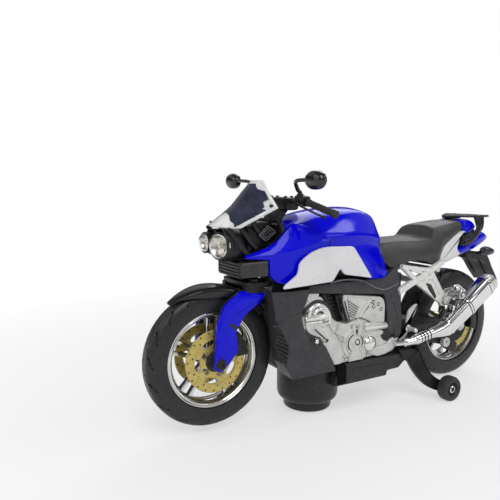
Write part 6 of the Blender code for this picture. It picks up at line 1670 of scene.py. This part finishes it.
line = spline([(-21, 26.6, 39.2), (-26.5, 28.2, 39.2), (-33, 29, 39.5), (-42, 29, 41), (-51, 29, 42.6),
               (-58, 29, 43.4), (-64.2, 29, 44.6)], 150)
way = np.gradient(line, axis=0)
x = line[:, 0]
size = np.interp(-x, (21, 26.4, 26.6, 35.6, 35.8, 37, 50, 52, 57, 61, 64.2),
                 (3.4, 3.4, 5.2, 5.2, 6.4, 6.4, 7, 7.4, 8.6, 9.8, 10.4))
full = size
size = size - 1.5 * (np.sin((x + 37.4) * 2 * np.pi / 2.6) > 0.3) * (x < -37.4) * (x > -48.4)
tall = size * np.interp(-x, (0, 52, 64), (1, 1, 1.08))
wide = size * np.interp(-x, (0, 52, 64), (1, 1, 0.86))
power = np.interp(-x, (0, 50, 64), (1, 1, 0.65))
rings = [soft_ring(*row) for row in zip(line, way * (1, 0, 1), tall, wide, power)]
# Near-black floors under the sleeve's grooves: painted shade in the grooves.
inside = (x < -37.7) & (x > -48.1)
floors = [soft_ring(*row, power=1.0) for row in zip(line[inside], (way * (1, 0, 1))[inside],
                                                    full[inside] - 0.55, full[inside] - 0.55)]
piece("exhaust_groove_shade", [skin(np.array(floors))], recess_shade)
piece("exhaust_plated", [skin(np.array(rings))], chrome, "exhaust_pipe", 28)
A, B = np.array((-64.5, 29, 44.5)), np.array((-102.1, 29, 69))  # the can's two ends
length = np.linalg.norm(B - A)
along = (B - A) / length
band = length * 0.47  # where its double band begins
marks = [
    (-0.6, 0.76), (0, 0.8), (0.5, 0.83), (1.6, 0.84), (1.9, 0.81), (2.1, 0.81), (band - 0.1, 0.915),
    (band, 0.95), (band + 0.3, 0.965), (band + 1.3, 0.965), (band + 1.5, 0.93), (band + 1.9, 0.93),
    (band + 2.1, 0.975), (band + 3.4, 0.975), (band + 3.7, 0.93), (length - 1.6, 0.985),
    (length - 1.3, 1), (length - 0.2, 1), (length, 0.985)]
rings = [soft_ring(A + along * t, along, 13.6 * s, 10.8 * s) for t, s in marks]
lug = plate([(-67.2, 49), (-72.4, 52), (-71.6, 58.2), (-69, 58.4)], 24.7, 30, 0.4, 0.8)
piece("muffler_can", [skin(np.array(rings)), lug], chrome, "muffler", 28)
# Near-black rings sunk in the band's grooves and at the step by the cap: painted shade.
groove_shades = [
    [soft_ring(A + along * t, along, 13.6 * s, 10.8 * s) for t, s in marks]
    for marks in (((band + 1.45, 0.9), (band + 1.5, 0.95), (band + 2.05, 0.95), (band + 2.1, 0.9)),
                  ((band - 0.7, 0.88), (band - 0.65, 0.925), (band - 0.15, 0.93), (band - 0.1, 0.88)),
                  ((length - 2.3, 0.94), (length - 2.25, 0.985), (length - 1.65, 0.99),
                   (length - 1.6, 0.94)))]
piece("muffler_groove_shades", [skin(np.array(s)) for s in groove_shades], recess_shade)
end = B + (-8.6, 0, 0.4)
cap_rings = [
    soft_ring(B, along, 13.3, 10.5), soft_ring(B + along * 0.6, along, 13.2, 10.4),
    soft_ring(B + (-3.2, 0, 1.9), along + (-0.6, 0, 0), 12.2, 9.8),
    soft_ring(B + (-5.6, 0, 2), along + (-1, 0, 0), 10.6, 8.8, 0.7),
    soft_ring(B + (-7.6, 0, 1), (-1, 0, 0.2), 8.6, 7.4, 0.8),
    soft_ring(end, (-1, 0, 0.1), 6.6, 5.8, 0.9), soft_ring(end + (0.2, 0, 0), (-1, 0, 0.1), 5.4, 4.4, 1),
    soft_ring(end + (3.6, 0, 0), (-1, 0, 0.1), 5, 4, 1)]
piece("muffler_cap", [skin(np.array(cap_rings))], cap_satin, sharp=40)
# The outlet's inside is near black: painted shade in the pipe.
mouth = [soft_ring(end + (x, 0, 0), (-1, 0, 0.1), 4.9, 3.9, 1) for x in (3.4, 1.2)]
piece("muffler_outlet", [skin(np.array(mouth))], recess_shade)


# ---- outriggers ----
# A black carrier screwed under the belly, with a broad curved arm down to each small wheel; the
# wheels are hard rubber with a recessed hub and a bright cap.

caster_x, caster_y = place("outrigger_wheel_left")[:2]
half, z = half_size("outrigger_wheel_left")[1:]
pin_in = caster_y - half - 0.5
line = spline([(-38.6, 20, 31.2), (-38.8, 24.6, 28.4), (-40.2, 28.2, 21.6), (-44.6, 31.2, 14.2),
               (-51, 33.4, 9.6), (caster_x, pin_in - 1.6, z)], 48)
way = unit(np.gradient(line, axis=0))
wide = unit(np.cross(way, unit(np.array((0.25, 0.95, 0.1)))))
flat = np.cross(wide, way)
reach = np.interp(np.linspace(0, 1, 48), (0, 0.25, 0.6, 1), (5.6, 5.4, 4.2, 3.2))[:, None, None]
u = np.array([1, 0.97, 0.84, 0.76, -0.76, -0.84, -0.97, -1, -1, -0.97, -0.84, -0.7, 0.7, 0.84, 0.97,
              1])[None, :, None]
v = np.array([0.5, 1.25, 1.5, 1, 1, 1.5, 1.25, 0.5, -0.5, -0.9, -1.1, -1.1, -1.1, -1.1, -0.9,
              -0.5])[None, :, None]
skins = [
    skin(line[:, None] + wide[:, None] * reach * u + flat[:, None] * 1.4 * v),
    turned([(0, pin_in - 3.4), (3, pin_in - 3.4), (3, pin_in - 0.3), (2.6, pin_in), (1.3, pin_in),
            (1.3, caster_y + half - 0.9), (0, caster_y + half - 0.9)], (caster_x, 0, z), steps=36),
    plate([(-25.4, 34.6), (-28, 30.2), (-32, 25.6), (-38, 27), (-43.4, 31.6), (-35.6, 33.6)], 22.2, 26.2,
          0.7, 1.2)]
skins = both(skins)
skins.append(plate(rect(-44, -36.1, 27.4, 33.6), -22, 22, 0.8, 1.4))
piece("outrigger_moulded", skins, moulded_black, "outrigger_frame", 35)
caster_rubber = finish("caster_rubber", (0.026, 0.026, 0.027), 0.5, tone=0.2, spots=400, grain=1900,
                       depth=0.05, dust=0.14)
for word, side in SIDES:
    name = "outrigger_wheel_" + word
    c = place(name)
    r, m = half_size(name)[:2]
    wheel = [(1.6, -m), (r - 1.6, -m), (r - 0.6, -m + 0.4), (r - 0.1, -m + 1.4), (r, -m + 2.2),
             (r, m - 2.2), (r - 0.1, m - 1.4), (r - 0.6, m - 0.4), (r - 1.6, m), (r - 2.2, m - 0.05),
             (r - 2.4, m - 0.3), (r - 3.3, m - 0.3), (r - 3.5, m - 0.1), (r - 3.9, m - 0.5),
             (r - 4.2, m - 2.2), (2.9, m - 2.2), (2.9, m - 1.0), (1.6, m - 1.0)]
    piece(name + "_tyre", [turned(np.array(wheel) * (1, side), c, steps=96, closed=True)], caster_rubber,
          name, 35, "outrigger_" + word)
    cap = [(1.5, m - 1.6), (2.4, m - 1.6), (2.4, m - 0.6), (1.9, m - 0.3), (1.5, m - 0.4)]
    piece(name + "_cap", [turned(np.array(cap) * (1, side), c, steps=36, closed=True)], plated_rim,
          sharp=35, body="outrigger_" + word)


# ---- floor, light and camera ----
# A white sweep with soft daylight from broad panels, and a view a little above the wheels. The
# floor glows to the camera and in gloss, and falls back to its own shade far out.

floor_white = bpy.data.materials.new("floor_white")
floor_white.use_nodes = True
nodes, links = floor_white.node_tree.nodes, floor_white.node_tree.links


def combined(operation, a, b):
    """A math node of the floor's shader on two outputs."""
    made = nodes.new("ShaderNodeMath")
    made.operation = operation
    links.new(a, made.inputs[0])
    links.new(b, made.inputs[1])
    return made.outputs[0]


ground = nodes["Principled BSDF"]
ground.inputs["Base Color"].default_value = (0.86, 0.86, 0.86, 1)
ground.inputs["Roughness"].default_value = 0.7
glow = nodes.new("ShaderNodeEmission")
glow.inputs["Strength"].default_value = 1.0
rays = nodes.new("ShaderNodeLightPath").outputs
seen = combined("MAXIMUM", rays["Is Camera Ray"], rays["Is Glossy Ray"])
through = combined("MAXIMUM", seen, rays["Is Transmission Ray"])
where = nodes.new("ShaderNodeTexCoord")
far = nodes.new("ShaderNodeVectorMath")
far.operation = "LENGTH"
links.new(where.outputs["Object"], far.inputs[0])
fade = nodes.new("ShaderNodeMapRange")
fade.inputs["From Min"].default_value = 0.12
fade.inputs["From Max"].default_value = 0.42
fade.inputs["To Min"].default_value = 0.55
links.new(far.outputs["Value"], fade.inputs["Value"])
blend = nodes.new("ShaderNodeMixShader")
links.new(combined("MULTIPLY", fade.outputs[0], through), blend.inputs["Fac"])
links.new(ground.outputs[0], blend.inputs[1])
links.new(glow.outputs[0], blend.inputs[2])
links.new(blend.outputs[0], nodes["Material Output"].inputs["Surface"])
FLOOR_HALF = 3.0
wide = np.linspace(-FLOOR_HALF, FLOOR_HALF, 9)
floor_points, floor_faces = skin(grid(wide, wide[:, None], 0), around=False, ends=False)
floor_mesh = bpy.data.meshes.new("floor")
floor_mesh.from_pydata(floor_points, [], floor_faces)
floor_mesh.materials.append(floor_white)
floor = bpy.data.objects.new("floor", floor_mesh)
bpy.context.scene.collection.objects.link(floor)

sky = bpy.data.worlds.new("studio_sky")
bpy.context.scene.world = sky
sky.use_nodes = True
nodes, links = sky.node_tree.nodes, sky.node_tree.links
air = nodes["Background"]
air.inputs["Strength"].default_value = 0.46
white = nodes.new("ShaderNodeBackground")
white.inputs["Color"].default_value = (1, 1, 1, 1)
rays = nodes.new("ShaderNodeLightPath").outputs
way = nodes.new("ShaderNodeTexCoord")
level = nodes.new("ShaderNodeSeparateXYZ")
links.new(way.outputs["Generated"], level.inputs[0])
band = nodes.new("ShaderNodeValToRGB")
stops = band.color_ramp.elements
stops[0].position = 0.0
stops[0].color = (0.8, 0.8, 0.81, 1)
stops[1].position = 0.95
stops[1].color = (0.25, 0.25, 0.26, 1)
for spot, bright in ((0.05, 0.8), (0.09, 0.07), (0.24, 0.07), (0.31, 1), (0.66, 1), (0.78, 0.25)):
    stops.new(spot).color = (bright, bright, bright * 1.02, 1)
links.new(level.outputs["Z"], band.inputs["Fac"])
links.new(band.outputs["Color"], air.inputs["Color"])
choose = nodes.new("ShaderNodeMixShader")
links.new(rays["Is Camera Ray"], choose.inputs["Fac"])
links.new(air.outputs[0], choose.inputs[1])
links.new(white.outputs[0], choose.inputs[2])
links.new(choose.outputs[0], nodes["World Output"].inputs["Surface"])
LAMP_AIM = Vector((0, 0, 0.06))


def panel_lamp(name, spot, size, power):
    """A square soft lamp at a place, turned to the toy's middle."""
    light = bpy.data.lights.new(name, "AREA")
    light.size = size
    light.energy = power
    lamp = bpy.data.objects.new(name, light)
    lamp.location = spot
    lamp.rotation_euler = (Vector(spot) - LAMP_AIM).to_track_quat("Z", "Y").to_euler()
    bpy.context.scene.collection.objects.link(lamp)


panel_lamp("key", (0.35, 0.65, 0.9), 0.7, 6.6)
panel_lamp("fill", (0.8, -0.2, 0.45), 0.6, 1.4)
panel_lamp("back", (-0.5, -0.5, 0.7), 0.6, 2.4)
panel_lamp("window", (-0.5, 0.26, 0.66), 0.2, 0.7)
panel_lamp("low_window", (-0.42, 0.62, 0.3), 0.16, 0.3)

camera_data = bpy.data.cameras.new("view")
camera_data.lens = 38.9
camera_data.sensor_width = 36.0
camera = bpy.data.objects.new("view", camera_data)
camera.location = (0.2245, 0.26536, 0.13678)
yaw, pitch = math.radians(29.84), math.radians(6.81)
backwards = Vector((math.sin(yaw) * math.cos(pitch), math.cos(yaw) * math.cos(pitch), math.sin(pitch)))
camera.rotation_mode = "QUATERNION"
camera.rotation_quaternion = backwards.to_track_quat("Z", "Y")
bpy.context.scene.collection.objects.link(camera)
bpy.context.scene.camera = camera
bpy.context.scene.view_settings.view_transform = "Standard"
